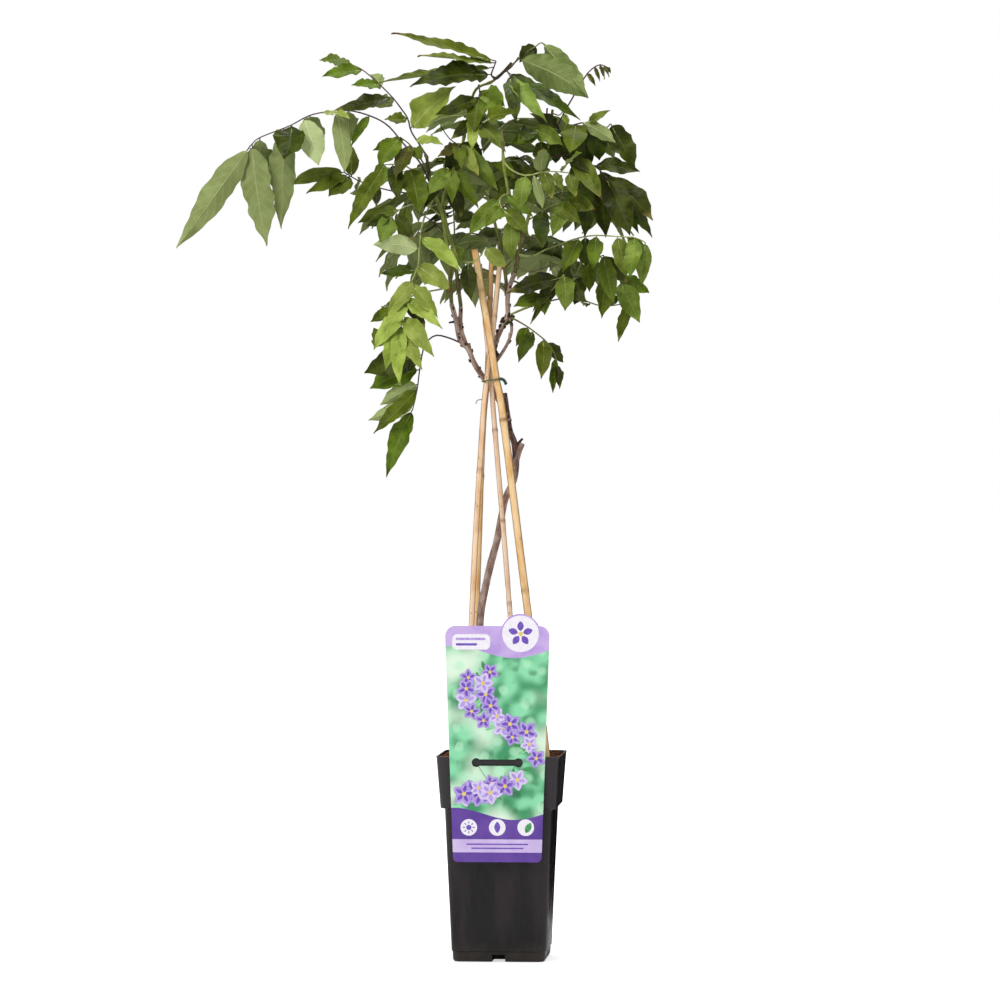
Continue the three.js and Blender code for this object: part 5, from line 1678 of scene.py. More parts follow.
@dataclass
class Soil:
    """The soil in the pot: a crumbly top with loose crumbs and chips, down to the pot's floor.

    Attributes:
        top: the height of its edge.
        dome: how far its middle stands above its edge.
        half: half its width at the top.
        corner: its corners' radius as a share of that.
        sides: its levels below the top, from the collar's foot down to the pot's floor.
        crumbs: how many crumbs lie on it.
    """

    top: float = 171.6
    dome: float = 2.4
    half: float = 50.3
    corner: float = 0.17
    sides: tuple[Level, ...] = (Level(47.2, 133), Level(43.9, 129), Level(38.4, 8))
    crumbs: int = 520

    CELLS = 72  # the top's faces along a side
    CRUMB, CHIP = (0.8, 2.2), (1.9, 0.8, 0.35)  # the crumbs' radii, and a flat chip's proportions
    LOOSE, EDGE, EDGE_BAND = 2.5, 2.2, 5  # how far crumbs stay from the edge, and the band along it

    def _height(self, x: float, y: float) -> float:
        """The height of the soil at a point.

        Args:
            x: the place across.
            y: the place from the front to the back.

        Returns:
            The height.
        """
        edge = max(abs(x), abs(y)) / self.half
        rise = self.dome * (1 - smooth(0.1, 1, edge))
        lift = 0.8 * math.sin(0.21 * x + 1) * math.cos(0.17 * y + 2) + 0.5 * math.sin(0.43 * x - 0.37 * y)
        lumps = noise.fractal(Vector((x * 0.16, y * 0.16, 3)), 0.8, 2.1, 4) * 1.3
        return self.top + rise + lift + lumps * smooth(1, 0.9, edge)

    def _rounded(self, x: float, y: float) -> Vector:
        """A point of a square of half width 1 moved into the square with round corners.

        Args:
            x: the place across.
            y: the place from the front to the back.

        Returns:
            The point moved.
        """
        over = Vector((abs(x) - 1 + self.corner, abs(y) - 1 + self.corner))
        if min(over) <= 0:
            return Vector((x, y))
        pull = max(over) / over.length
        inside = Vector((1 - self.corner, 1 - self.corner)) + over * pull
        return Vector((math.copysign(inside.x, x), math.copysign(inside.y, y)))

    def _body(self, bm: BMesh) -> None:
        """The top as a displaced grid, with its sides drawn down to the floor.

        Args:
            bm: the mesh in the making.
        """
        bmesh.ops.create_grid(bm, x_segments=self.CELLS, y_segments=self.CELLS, size=1)
        for vert in bm.verts:
            place = self._rounded(vert.co.x, vert.co.y) * self.half
            vert.co = Vector((place.x, place.y, self._height(place.x, place.y)))
        rim = [edge for edge in bm.edges if edge.is_boundary]
        for level in self.sides:
            widest = max(abs(vert.co.x) for edge in rim for vert in edge.verts)
            made = bmesh.ops.extrude_edge_only(bm, edges=rim)["geom"]
            verts = made_of(made, BMVert)
            bmesh.ops.scale(bm, verts=verts, vec=(level.half / widest, level.half / widest, 1))
            for vert in verts:
                vert.co.z = level.height
            rim = [edge for edge in made_of(made, BMEdge) if edge.is_boundary]
        bmesh.ops.edgeloop_fill(bm, edges=rim)

    def _crumb(self, bm: BMesh, k: int) -> None:
        """One crumb of peat, or for one in six a flat chip, half sunk in the top.

        Args:
            bm: the mesh in the making.
            k: the crumb's number, which seeds its draws.
        """
        x, y = ((draw(k + shift) * 2 - 1) * (self.half - self.LOOSE) for shift in (0.1, 0.6))
        if k % 3 == 0:
            x = math.copysign(self.half - self.EDGE - self.EDGE_BAND * draw(k + 0.8), x)
        size = lerp(*self.CRUMB, draw(k + 0.3) ** 2)
        flat = self.CHIP if k % 6 == 0 else (1, lerp(0.7, 1, draw(k + 0.4)), 0.75)
        turn = Matrix.Rotation(draw(k + 0.7) * math.tau, 4, "Z") @ Matrix.Rotation(draw(k) - 0.5, 4, "X")
        place = Matrix.Translation((x, y, self._height(x, y) + size * 0.25))
        shape = Matrix.Diagonal((*(f * size for f in flat), 1))
        bmesh.ops.create_icosphere(bm, subdivisions=1, radius=1, matrix=place @ turn @ shape)

    def build(self) -> Object:
        """Builds the soil with its crumbs.

        Returns:
            The soil.
        """
        piece = Piece("soil_bed", [SoilFinish().made()], "soil", ("soil",), POT_PLACE, sharp=180)
        self._body(piece.bm)
        for k in range(self.crumbs):
            self._crumb(piece.bm, k)
        return piece.finished()


# ---------------- canes and tie


@dataclass(frozen=True)
class CaneFinish:
    """Dried bamboo: straw skin with lengthwise fibres, grey-brown nodes, weathered spots and painted shade
    towards its edges.

    Attributes:
        name: the material's name.
        straw: the main colour.
        ripe: the colour of its streaks.
        node: the colour at its nodes and cuts.
        ridge: the colour of the painted shade towards its edges, where the skin is seen at a slant.
    """

    name: str
    straw: str
    ripe: str
    node: str = "74492f"
    ridge: str = "734827"

    def made(self) -> Material:
        """Makes the material.

        Returns:
            The material.
        """
        shade = Shading(self.name, Specular_IOR_Level=0.4)
        straight = shade.attribute(STRAIGHT)["Vector"]
        streaks = shade.group(streaks_group(), {"Vector": straight, "Scale": 1100.0, "Stretch": 0.02})
        patches = shade.mottled(shade.mapped(straight, (1, 1, 0.3)), 130, 0.42, 0.66, self.straw, self.ripe)
        lined = shade.mix(shade.step(streaks["Fibre"], 0.52, 0.75, 0, 0.55), patches["Color"], self.ripe)
        specks = shade.specks(shade.mapped(straight, (1, 1, 0.4)), 420, 0.2, 0.08)
        aged = shade.mix(shade.times(specks, 0.6), lined, self.node)
        # painted shade: darker towards the outline, by the angle at which the skin is seen
        slant = shade.add("LayerWeight", {"Blend": 0.5}).outputs["Facing"]
        shaded = shade.mix(shade.step(slant, 0.2, 0.75, 0, 0.95), aged, self.ridge)
        mark = shade.attribute(MARK)["Fac"]
        ragged = shade.times(mark, shade.step(streaks["Broad"], 0.3, 0.6, 0.5, 1))
        return shade.ended(Base_Color=shade.mix(ragged, shaded, self.node),
                           Roughness=shade.scaled(streaks["Broad"], 0.25, 0.32),
                           Normal=shade.bump(streaks["Fibre"], 0.35, 0.25))


CANE_FINISHES = {
    "cane_front": CaneFinish("cane_golden", "f3d09c", "dda967"),
    "cane_left": CaneFinish("cane_straw", "f5d4b0", "e0b288"),
    "cane_back": CaneFinish("cane_amber", "efca94", "d6a364"),
    "cane_right": CaneFinish("cane_pale", "f8dcc0", "e6bf9c"),
}


class Ring(NamedTuple):
    """A node of a cane: its height, how far it stands out and how dark it is."""

    height: float
    swell: float
    dark: float


@dataclass
class Canes:
    """The four bamboo canes that lean together under the tie, each with its nodes and hollow top.

    Attributes:
        rings: the nodes of each cane.
        wall: the thickness of the wall round the hollow.
        hollow: the depth of the hollow.
        groove: the depth of the groove that winds round a cane.
    """

    rings: dict[str, tuple[Ring, ...]] = field(default_factory=lambda: {
        "cane_front": (Ring(312, 0.35, 0.5), Ring(456, 0.5, 1), Ring(566, 0.3, 0.5), Ring(206, 0.3, 0.6)),
        "cane_left": (Ring(270, 0.3, 0.5), Ring(414, 0.35, 0.8), Ring(545, 0.3, 0.4)),
        "cane_back": (Ring(236, 0.3, 0.5), Ring(409, 0.35, 0.8), Ring(560, 0.3, 0.5)),
        "cane_right": (Ring(371, 0.35, 0.7), Ring(448, 0.4, 0.9), Ring(300, 0.3, 0.5), Ring(540, 0.3, 0.5)),
    })
    wall: float = 0.9
    hollow: float = 7
    groove: float = 0.12

    SIDES, GAP = 14, 2.2  # the sides of the section, and the distance between two rings of faces
    NODE, LIP = 2.2, 0.7  # how far a node's swelling and the lip above it reach along the cane
    WORN = 3  # how far the skin is darkened below the cut

    def _cane(self, name: str, stem: Stick) -> Object:
        """Builds one cane with its rings and its hollow cut top.

        Args:
            name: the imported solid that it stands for.
            stem: its line and its radii.

        Returns:
            The cane.
        """
        length = stem.line.length()
        rings = [(stem.line.length(stem.line.place_at_height(r.height)), r) for r in self.rings[name]]

        def near(run: float, reach: float) -> list[tuple[float, Ring]]:
            """How close a run is to each ring, from 0 to 1, and the ring."""
            return [(math.exp(-(((run - at) / reach) ** 2)), ring) for at, ring in rings]

        def relief(run: float, angle: float) -> float:
            """How far the skin stands out.

            Args:
                run: how far along the tube, in millimetres.
                angle: the angle round it.

            Returns:
                The relief.
            """
            bulge = sum(close * ring.swell for close, ring in near(run, self.NODE))
            lip = sum(close * ring.swell * 0.5 for close, ring in near(run - self.NODE, self.LIP))
            flute = math.sin(angle + run * 0.004) * self.groove
            return bulge - lip * 0.6 + flute + noise.noise(Vector((angle, run * 0.06, len(name)))) * 0.1

        def marked(run: float) -> float:
            """How strongly the skin is marked."""
            worn = sum(close * ring.dark for close, ring in near(run - 1, 1.6))
            return min(1, worn + 0.6 * smooth(length - self.WORN, length, run))

        piece = Piece(name + "_bamboo", [CANE_FINISHES[name].made()], "cane", (name,), sharp=45)
        tube = Tube(stem.line, stem.radius, self.SIDES, round(length / self.GAP), relief, marked)
        _, top = tube.add_to(piece)
        bmesh.ops.inset_individual(piece.bm, faces=[top], thickness=self.wall, use_even_offset=True)
        inner = bmesh.ops.extrude_discrete_faces(piece.bm, faces=[top])["faces"][0]
        down = stem.line.tangent(stem.line.last) * -self.hollow
        bmesh.ops.translate(piece.bm, verts=inner.verts, vec=down)
        for vert in inner.verts:
            vert[piece.mark] = 1
        return piece.finished()

    def build(self) -> None:
        """Builds the four canes."""
        for name, stem in CANES.items():
            self._cane(name, stem)


@dataclass(frozen=True)
class PlainFinish:
    """A small part's finish: two colours in soft patches.

    Attributes:
        name: the material's name.
        first: one colour.
        second: the other colour.
        scale: the patches' scale, in cells a metre.
        roughness: how matt it is.
    """

    name: str
    first: str
    second: str
    scale: float = 300
    roughness: float = 0.6

    def made(self) -> Material:
        """Makes the material.

        Returns:
            The material.
        """
        shade = Shading(self.name, Roughness=self.roughness, Specular_IOR_Level=0.35)
        patches = shade.mottled(shade.place(), self.scale, 0.4, 0.62, self.first, self.second)
        return shade.ended(Base_Color=patches["Color"], Normal=shade.bump(patches["Patch"], 0.3, 0.15))


@dataclass(frozen=True)
class WireFinish:
    """Green plastic over wire, in two greens.

    Attributes:
        name: the material's name.
        first: one green.
        second: the other green.
    """

    name: str
    first: str
    second: str

    def made(self) -> Material:
        """Makes the material.

        Returns:
            The material.
        """
        shade = Shading(self.name, Roughness=0.45)
        patches = shade.mottled(shade.place(), 500, 0.4, 0.6, self.first, self.second)
        return shade.ended(Base_Color=patches["Color"])


@dataclass
class Tie:
    """The thin green wire round the canes, with its ends twisted together at the right.

    Attributes:
        loop: the wire's way round the canes, from the twist back to it.
        tail: the middle line of the twisted ends.
        wire: the wire's radius.
        strand: the radius of a twisted end, and how far it lies from the tail's middle line.
        turns: the turns of the twist.
    """

    loop: tuple[Point, ...] = (
        (-1.6, -9.7, 492.1), (-5.5, -11.4, 491.6), (-10.5, -9.6, 490.9), (-14.6, -6.6, 490.2),
        (-16.6, -3, 489.8), (-16.3, 9, 490.2), (-12.8, 12.5, 490.8), (-9.2, 9.5, 491.4),
        (-4.6, 2.2, 492), (-0.6, -5, 492.3), (-0.8, -8.4, 492.3), (-1.2, -9.6, 492.2),
    )
    tail: tuple[Point, ...] = ((-1.4, -9.6, 492.2), (1, -10.4, 491.4), (2.6, -10.2, 489.4), (3.4, -10, 487.6))
    wire: float = 0.7
    strand: float = 0.72
    turns: float = 3

    KNOTS = 18  # steps along a twisted end

    def _strand(self, start: float) -> Line:
        """One of the two ends, wound round the tail's middle line.

        Args:
            start: the angle at which it starts.

        Returns:
            Its line.
        """
        middle = Line.through(self.tail)
        points = []
        for k in range(self.KNOTS + 1):
            place = middle.last * k / self.KNOTS
            along = middle.tangent(place)
            side = along.cross(Vector((0, 1, 0))).normalized()
            angle = start + self.turns * math.tau * k / self.KNOTS
            swing = side * math.cos(angle) + along.cross(side) * math.sin(angle)
            points.append(middle.point(place) + swing * self.strand)
        return Line(tuple(points))

    def build(self) -> Object:
        """Builds the tie.

        Returns:
            The tie.
        """
        finishes = (WireFinish("tie_olive", "3e4d1c", "65733a"), WireFinish("tie_teal", "0c382c", "1f5445"))
        piece = Piece("tie_wire", [finish.made() for finish in finishes], "tie", ("tie",))
        Tube(Line.through(self.loop), lambda _: self.wire, 8, 72).add_to(piece)
        for start in (0, math.pi):
            Tube(self._strand(start), lambda _: self.strand, 7, 48).add_to(piece, 1)
        return piece.finished()


# ---------------- wood and shoots


@dataclass(frozen=True)
class BarkFinish:
    """Smooth grey bark with fine lengthwise lines, darker and split where it is marked.

    Attributes:
        name: the material's name.
        skin: the main colour.
        light: the colour of its pale streaks.
        dark: the colour of its buds, scars and rough stretches.
        relief: the depth of its lines in millimetres.
    """

    name: str
    skin: str
    light: str
    dark: str
    relief: float = 0.3

    def made(self) -> Material:
        """Makes the material.

        Returns:
            The material.
        """
        shade = Shading(self.name, Roughness=0.72, Specular_IOR_Level=0.3)
        straight = shade.attribute(STRAIGHT)["Vector"]
        streaks = shade.group(streaks_group(), {"Vector": straight, "Scale": 1300.0, "Stretch": 0.06})
        patches = shade.mottled(shade.mapped(straight, (1, 1, 0.4)), 190, 0.4, 0.64, self.skin, self.light)
        lined = shade.mix(shade.step(streaks["Fibre"], 0.48, 0.72, 0, 0.7), patches["Color"], self.dark)
        pored = shade.mix(shade.times(shade.specks(straight, 650, 0.3, 0.16), 0.5), lined, self.light)
        mark = shade.attribute(MARK)["Fac"]
        torn = shade.step(shade.noise(shade.mapped(straight, (1, 1, 0.35)), 420, 4, 0.7), 0.38, 0.6, 0.55, 1)
        rough = shade.times(torn, shade.scaled(mark, 1.2, 0.2))
        normal = shade.bump(shade.math("ADD", streaks["Fibre"], rough), 0.7, self.relief)
        return shade.ended(Base_Color=shade.mix(shade.times(mark, torn), pored, self.dark), Normal=normal)


class Bud(NamedTuple):
    """A bud or knob on a stem: where it sits, which way it leans, and its size."""

    foot: Vector
    lean: Vector
    size: float

    def add_to(self, piece: Piece, finish: int, dark: float = 1) -> None:
        """Adds the bud: a pointed knob of a few faces, sunk in the stem.

        Args:
            piece: the piece that takes it.
            finish: its material number.
            dark: how strongly it is marked.
        """
        turn = self.lean.normalized().to_track_quat("Z", "Y").to_matrix().to_4x4()
        shape = Matrix.Diagonal((0.8 * self.size, 0.65 * self.size, 1.35 * self.size, 1))
        place = Matrix.Translation(self.foot) @ turn @ Matrix.Rotation(self.size * 9, 4, "Z") @ shape
        made = bmesh.ops.create_icosphere(piece.bm, subdivisions=1, radius=1, matrix=place)["verts"]
        for vert in made:
            vert[piece.straight] = vert.co * MM
            vert[piece.mark] = dark
        finish_faces({face for vert in made for face in vert.link_faces}, finish)


def cut_end(piece: Piece, face: BMFace, rim: float, sink: float, finish: int) -> None:
    """Makes a stem's end a pruned one, with a rim of bark round a face of bare wood.

    Args:
        piece: the stem's piece.
        face: its end face.
        rim: the bark's thickness.
        sink: how far the wood lies below the rim.
        finish: the wood's material number.
    """
    face.normal_update()
    bmesh.ops.inset_individual(piece.bm, faces=[face], thickness=rim, use_even_offset=True)
    face.normal_update()
    bmesh.ops.translate(piece.bm, verts=face.verts, vec=face.normal * -sink)
    face.material_index = finish


class Bark(IntEnum):
    """The woody stem's finishes, by their material numbers."""

    TRUNK, BRANCH, BUD, CUT, TENDRIL = range(5)


@dataclass
class Wood:
    """The woody stem: the trunk from the soil, its pruned stubs and the branches above the tie.

    Attributes:
        rough: the runs along the trunk between which its bark turns dark and split.
        split: the run along the trunk from which its ridges stand out.
        bud_gap: the distance from bud to bud.
        stubs: the foot, the tip and the radius of each short spur.
        collar: the line of the swelling where the living stem forks.
        knuckles: the place and the size of each larger knob.
        tendril: the line of the dry tendril.
    """

    rough: tuple[float, float] = (284, 306)
    split: float = 288
    bud_gap: float = 7
    stubs: tuple[tuple[Point, Point, float], ...] = (
        ((11, 8, 434), (17.5, 6.6, 441.5), 1.1),
        ((8, 4, 449), (0.5, -2, 449.5), 0.9),
        ((-5.2, 11, 510), (-3.4, 9, 514.5), 1.1),
        ((5.2, 5.6, 546), (10.5, 3.2, 545), 1.4),
        ((-39.6, 5, 541), (-45.2, 3.4, 540), 0.8),
    )
    collar: tuple[Point, ...] = ((-26.6, 5.4, 514), (-27.9, 4.8, 518), (-28.4, 4.4, 522.6))
    knuckles: tuple[tuple[Point, float], ...] = (
        ((-4, 7.6, 532.4), 1.8), ((-1.8, 6, 537.4), 1.9), ((1, 5, 541.4), 2), ((6, 4, 547), 1.9),
        ((-4.6, 9.4, 515), 1.4),
        ((-31, 3.4, 521.5), 1.9), ((-36.8, 3.6, 530), 1.5), ((-33.4, 6.4, 536), 1.4),
    )
    tendril: tuple[Point, ...] = (
        (-13.6, 1.5, 481.5), (-15, -3.5, 477), (-16.5, -5.2, 474.7), (-18.5, -5.4, 474.5),
        (-20.6, -5.3, 474), (-21.8, -5.2, 472.6), (-22.2, -5.2, 470.6),
    )

    FINISHES = (
        BarkFinish("bark_trunk", "937568", "cbb3a7", "422c27", 0.45),
        BarkFinish("bark_branch", "9f8171", "cbb5a8", "482f28"),
        BarkFinish("bark_bud", "553830", "7b5b4e", "301c19"),
        PlainFinish("cut_wood", "8d7466", "5e473c"),
        PlainFinish("tendril_skin", "8c938a", "6f776d"),
    )
    SIDES, GAP = 14, 1.8  # the sides of a limb's section, and the distance between two of its rings
    CUT_RIM, CUT_SINK = 0.45, 0.3
    SPLIT, SMOOTH = 0.9, 0.3  # how far the ridges of split and of smooth bark stand out
    STUB_FLARE = (1.5, 0.85)  # a spur's radius at its foot and at its tip, as shares of its own
    COLLAR_RADII, TENDRIL_RADII = (2.3, 1.6), (0.55, 0.35)
    BUD_SIZES = (0.9, 1.8)
    KNUCKLE_LEAN = Vector((0.3, -0.6, 0.7))

    def _branch(self, piece: Piece, name: str, stem: Stick, finish: int) -> None:
        """Adds one limb with uneven bark and a pruned end.

        Args:
            piece: the piece that takes it.
            name: the limb's name.
            stem: its line and its radii.
            finish: the material number.
        """
        own = len(name)
        trunk = name == "trunk"

        def relief(run: float, angle: float) -> float:
            """How far the skin stands out.

            Args:
                run: how far along the tube, in millimetres.
                angle: the angle round it.

            Returns:
                The relief.
            """
            slow = noise.noise(Vector((0, own, run * 0.05))) * 0.22
            ridge = abs(noise.noise(spoke(angle, 3, run * 0.05)))
            bark = ridge * (self.SPLIT if trunk and run > self.split else self.SMOOTH)
            return slow + noise.noise(spoke(angle, 2.2, run * 0.12 + own)) * 0.22 + bark

        def marked(run: float) -> float:
            """How strongly the skin is marked.

            Args:
                run: how far along the tube, in millimetres.

            Returns:
                The mark, from 0 to 1.
            """
            if not trunk:
                return 0.15 + 0.25 * noise.noise(Vector((own, 0, run * 0.11)))
            return max(0.12, smooth(*self.rough, run))

        steps = round(stem.line.length() / self.GAP)
        _, top = Tube(stem.line, stem.radius, self.SIDES, steps, relief, marked).add_to(piece, finish)
        cut_end(piece, top, self.CUT_RIM, self.CUT_SINK, Bark.CUT)

    def _knobs(self, piece: Piece, name: str, stem: Stick) -> None:
        """Adds the buds and leaf scars that stand along a limb, on alternate sides.

        Args:
            piece: the piece that takes it.
            name: the limb's name.
            stem: its line and its radii.
        """
        count = int(stem.line.length() / self.bud_gap)
        for k in range(count):
            own = draw(k * 1.7 + len(name))
            place = (k + 0.3 + 0.5 * own) / count * stem.line.last
            along = stem.line.tangent(place)
            side = along.cross(spoke(k * 2.3 + own, 1, 0.2)).normalized()
            radius = stem.radius(place / stem.line.last)
            size = lerp(*self.BUD_SIZES, draw(k + own))
            bud = Bud(stem.line.point(place) + side * radius * 0.95, side + along * 0.9, size)
            bud.add_to(piece, Bark.BUD)
            scar = Bud(stem.line.point(place - 0.08) + side * radius, side + along * 0.2, size * 0.7)
            scar.add_to(piece, Bark.BUD, 0.6)

    def build(self) -> Object:
        """Builds the whole woody stem as one piece.

        Returns:
            The woody stem.
        """
        piece = Piece("wood_bark", [finish.made() for finish in self.FINISHES], "bark", ("wood",), sharp=60)
        for name, stem in WOOD.items():
            low = name in ("trunk", "pruned_stub")
            self._branch(piece, name, stem, Bark.TRUNK if low else Bark.BRANCH)
            if not low:
                self._knobs(piece, name, stem)
        for foot, tip, radius in self.stubs:
            spur = Line.through((foot, Vector(foot).lerp(Vector(tip), 0.5), tip))
            Tube(spur, lambda t, wide=radius: wide * lerp(*self.STUB_FLARE, t), 8, 6,
                 marked=lambda _: 1).add_to(piece, Bark.BUD)
        Tube(Line.through(self.collar), lambda t: lerp(*self.COLLAR_RADII, t), 10, 8,
             lambda run, angle: 0.4 * noise.noise(Vector((angle * 2, run, 0))),
             lambda run: smooth(3, 9, run)).add_to(piece, Bark.BRANCH)
        for foot, size in self.knuckles:
            Bud(Vector(foot), self.KNUCKLE_LEAN, size).add_to(piece, Bark.BUD)
        tendril = Tube(Line.through(self.tendril), lambda t: lerp(*self.TENDRIL_RADII, t), 6, 26)
        tendril.add_to(piece, Bark.TENDRIL)
        return piece.finished()


class Snag(NamedTuple):
    """A bare twig: the shoot that it is on, its place there, its tip and its radius."""

    carrier: str
    place: float
    tip: Point
    radius: float


@dataclass
class Shoots:
    """The five green shoots that carry the leaves, with a knob and a bud at each leaf's foot.

    Attributes:
        brown_runs: how far up each shoot is brown.
        snags: its bare twigs.
    """

    brown_runs: dict[str, float] = field(default_factory=lambda: {
        "shoot_left": 40, "shoot_tall": 44, "shoot_right": 60, "shoot_front": 20, "shoot_back": 90,
    })
    snags: tuple[Snag, ...] = (
        Snag("shoot_right", 4.2, (38.3, -3, 722), 0.9), Snag("shoot_right", 4.9, (52, -2, 719.5), 0.5),
        Snag("shoot_tall", 5, (-52, -8, 706), 0.5), Snag("shoot_tall", 5.6, (-14, -10, 699), 0.45),
        Snag("shoot_left", 2.2, (-84, -12, 668), 0.5), Snag("shoot_left", 1.4, (-72, -10, 634), 0.5),
        Snag("shoot_right", 2.6, (54, -16, 654), 0.5), Snag("shoot_right", 3.1, (12, -18, 681), 0.5),
        Snag("shoot_right", 3.4, (70, -18, 690), 0.45), Snag("shoot_front", 1.6, (-16, -30, 650), 0.45),
        Snag("shoot_tall", 2.6, (-22, -12, 650), 0.45), Snag("shoot_tall", 8.25, (8, -9, 760), 1.3),
        Snag("shoot_tall", 8.6, (14, -7, 765), 0.6),
    )

    SKIN, BUD, CUT = range(3)
    FINISHES = (
        BarkFinish("shoot_skin", "7d8c3c", "a0ad58", "54402f", 0.2),
        BarkFinish("shoot_bud", "5c4a33", "7d6b48", "33241d", 0.2),
        PlainFinish("shoot_cut", "a9a878", "7d7a52"),
    )
    SIDES, GAP = 10, 3  # the sides of the section, and the distance between two of its rings
    CUT_RIM, CUT_SINK = 0.25, 0.15
    KNOB, KNOB_REACH = 0.45, 2.4  # how far a leaf's foot swells the shoot, and its reach along it
    DRY = (24, 14)  # the lengths below the tip between which the skin turns brown

    def _shoot(self, name: str, stem: Stick, finishes: list[Material]) -> Object:
        """Builds one shoot.

        Args:
            name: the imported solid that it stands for.
            stem: its line and its radii.
            finishes: the shoots' materials.

        Returns:
            The shoot.
        """
        length = stem.line.length()
        feet = [leaf.place for leaf in (*LEAVES, *SPRAYS) if leaf.carrier == name]
        runs = [place / stem.line.last * length for place in feet]

        def near(run: float, reach: float) -> float:
            """How close a run is to the leaves' feet, from 0 to 1 for each."""
            return sum(math.exp(-(((run - at) / reach) ** 2)) for at in runs)

        def relief(run: float, angle: float) -> float:
            """How far the skin stands out."""
            return near(run, self.KNOB_REACH) * self.KNOB + noise.noise(spoke(angle, 1, run * 0.09)) * 0.12

        def marked(run: float) -> float:
            """How strongly the skin is marked.

            Args:
                run: how far along the tube, in millimetres.

            Returns:
                The mark, from 0 to 1.
            """
            brown = 0.9 * smooth(self.brown_runs[name], 0.5 * self.brown_runs[name], run)
            tip = 0.9 * smooth(length - self.DRY[0], length - self.DRY[1], run)
            return max(brown, tip) + 0.25 * near(run, 3)

        piece = Piece(name + "_skin", finishes, "shoot", (name,), sharp=60)
        tube = Tube(stem.line, stem.radius, self.SIDES, round(length / self.GAP), relief, marked)
        _, top = tube.add_to(piece, self.SKIN)
        cut_end(piece, top, self.CUT_RIM, self.CUT_SINK, self.CUT)
        for k, place in enumerate(feet):
            along = stem.line.tangent(place)
            side = along.cross(spoke(k * 2.1)).normalized()
            foot = stem.line.point(place + 0.03) + side * stem.radius(place / stem.line.last)
            Bud(foot, side * 0.6 + along, lerp(0.8, 1.2, draw(k))).add_to(piece, self.BUD)
        for snag in self.snags:
            if snag.carrier == name:
                self._snag(piece, stem.line.point(snag.place), Vector(snag.tip), snag.radius)
        return piece.finished()

    def _snag(self, piece: Piece, foot: Vector, tip: Vector, radius: float) -> None:
        """Adds a thin bare twig, bent a little, with a knob half way.

        Args:
            piece: the piece that takes it.
            foot: where it springs.
            tip: its tip.
            radius: its radius.
        """
        bend = foot.lerp(tip, 0.45) + Vector((draw(tip.x) - 0.5, 0, draw(tip.z) - 0.5)) * 5
        Tube(Line((foot, bend, tip)), lambda t: lerp(1.15, 0.8, t) * radius, 6, 10,
             marked=lambda _: 1).add_to(piece, self.BUD)
        Bud(bend, tip - foot, radius * 1.5).add_to(piece, self.BUD)

    def build(self) -> None:
        """Builds the five shoots."""
        finishes = [finish.made() for finish in self.FINISHES]
        for name, stem in SHOOTS.items():
            self._shoot(name, stem, finishes)


# ---------------- label


@dataclass(frozen=True)
class CardFinish:
    """The printed front of the card: a blurred garden of mint and pale light between lilac bands.

    Attributes:
        bands: the heights at which the print changes, from the foot up, in millimetres.
    """

    bands: tuple[float, float, float, float] = (93.5, 104.5, 126, 262)

    def _garden(self, shade: Shading, near: NodeSocket) -> NodeSocket:
        """The blurred garden, with round lights in it.

        Args:
            shade: the material in the making.
            near: the coordinates.

        Returns:
            Its colour.
        """
        leafy = shade.mix(shade.step(shade.noise(near, 75, 0), 0.3, 0.7), "3f9866", "8fe0b0")
        shadow = shade.mix(shade.step(shade.noise(near, 130, 0), 0.55, 0.85, 0, 0.7), leafy, "2a6b46")
        light = shade.mix(shade.step(shade.noise(near, 30, 0), 0.45, 0.75), shadow, "e2f8e2")
        blurred = shade.add("TexVoronoi", {"Vector": near, "Scale": 85.0}).outputs
        chosen = shade.math("LESS_THAN", shade.add("SeparateColor", {0: blurred["Color"]}).outputs[0], 0.45)
        glow = shade.times(shade.step(blurred["Distance"], 0.2, 0.5, 0.6, 0), chosen)
        return shade.mix(glow, light, "b9f2cb")

    def made(self) -> Material:
        """The material, with its bands laid over the garden.

        Returns:
            The material.
        """
        shade = Shading("label_print", Roughness=0.38, Specular_IOR_Level=0.45)
        place = shade.place()
        across, _, up = shade.parts(place)
        near = shade.mapped(place, (1, 0.05, 1))
        soft = shade.noise(near, 60, 3)
        lilac = shade.mix(shade.step(soft, 0.35, 0.65), "cdb4ea", "b99be0")
        purple = shade.mix(shade.step(soft, 0.3, 0.7), "6c49a6", "5c3c99")
        edge = shade.scaled(shade.math("SINE", shade.scaled(across, 62.0, 0.7)), 0.005, up)
        low, strip, middle, high = (height * MM for height in self.bands)
        printed = shade.mix(shade.math("GREATER_THAN", edge, high), self._garden(shade, near), lilac)
        printed = shade.mix(shade.math("LESS_THAN", edge, middle), printed, purple)
        pale = shade.mix(0.3, lilac, "f0e6fa")
        printed = shade.mix(shade.math("LESS_THAN", up, strip), printed, pale)
        printed = shade.mix(shade.math("LESS_THAN", up, low), printed, purple)
        return shade.ended(Base_Color=printed, Normal=shade.bump(shade.noise(place, 40, 1), 0.15, 0.6))


class Ink(IntEnum):
    """The inks of the print, by their material numbers."""

    LILAC, VIOLET, YELLOW, GREEN, MINT, WHITE, PALE = range(7)


INKS = {
    Ink.LILAC: ("a78bdc", "c3aeea"),
    Ink.VIOLET: ("6a4bb0", "7d5fc4"),
    Ink.YELLOW: ("f0d774", "e6c65a"),
    Ink.GREEN: ("3f8a55", "5aa56b"),
    Ink.MINT: ("86c99a", "a5dbb2"),
    Ink.WHITE: ("f6f3fa", "efeaf6"),
    Ink.PALE: ("d3c2f0", "e3d8f7"),
}


class Bar(NamedTuple):
    """A printed strip: its lower left, its upper right, its corners' radius, its level and its ink."""

    low: tuple[float, float]
    high: tuple[float, float]
    corner: float
    level: int
    ink: Ink


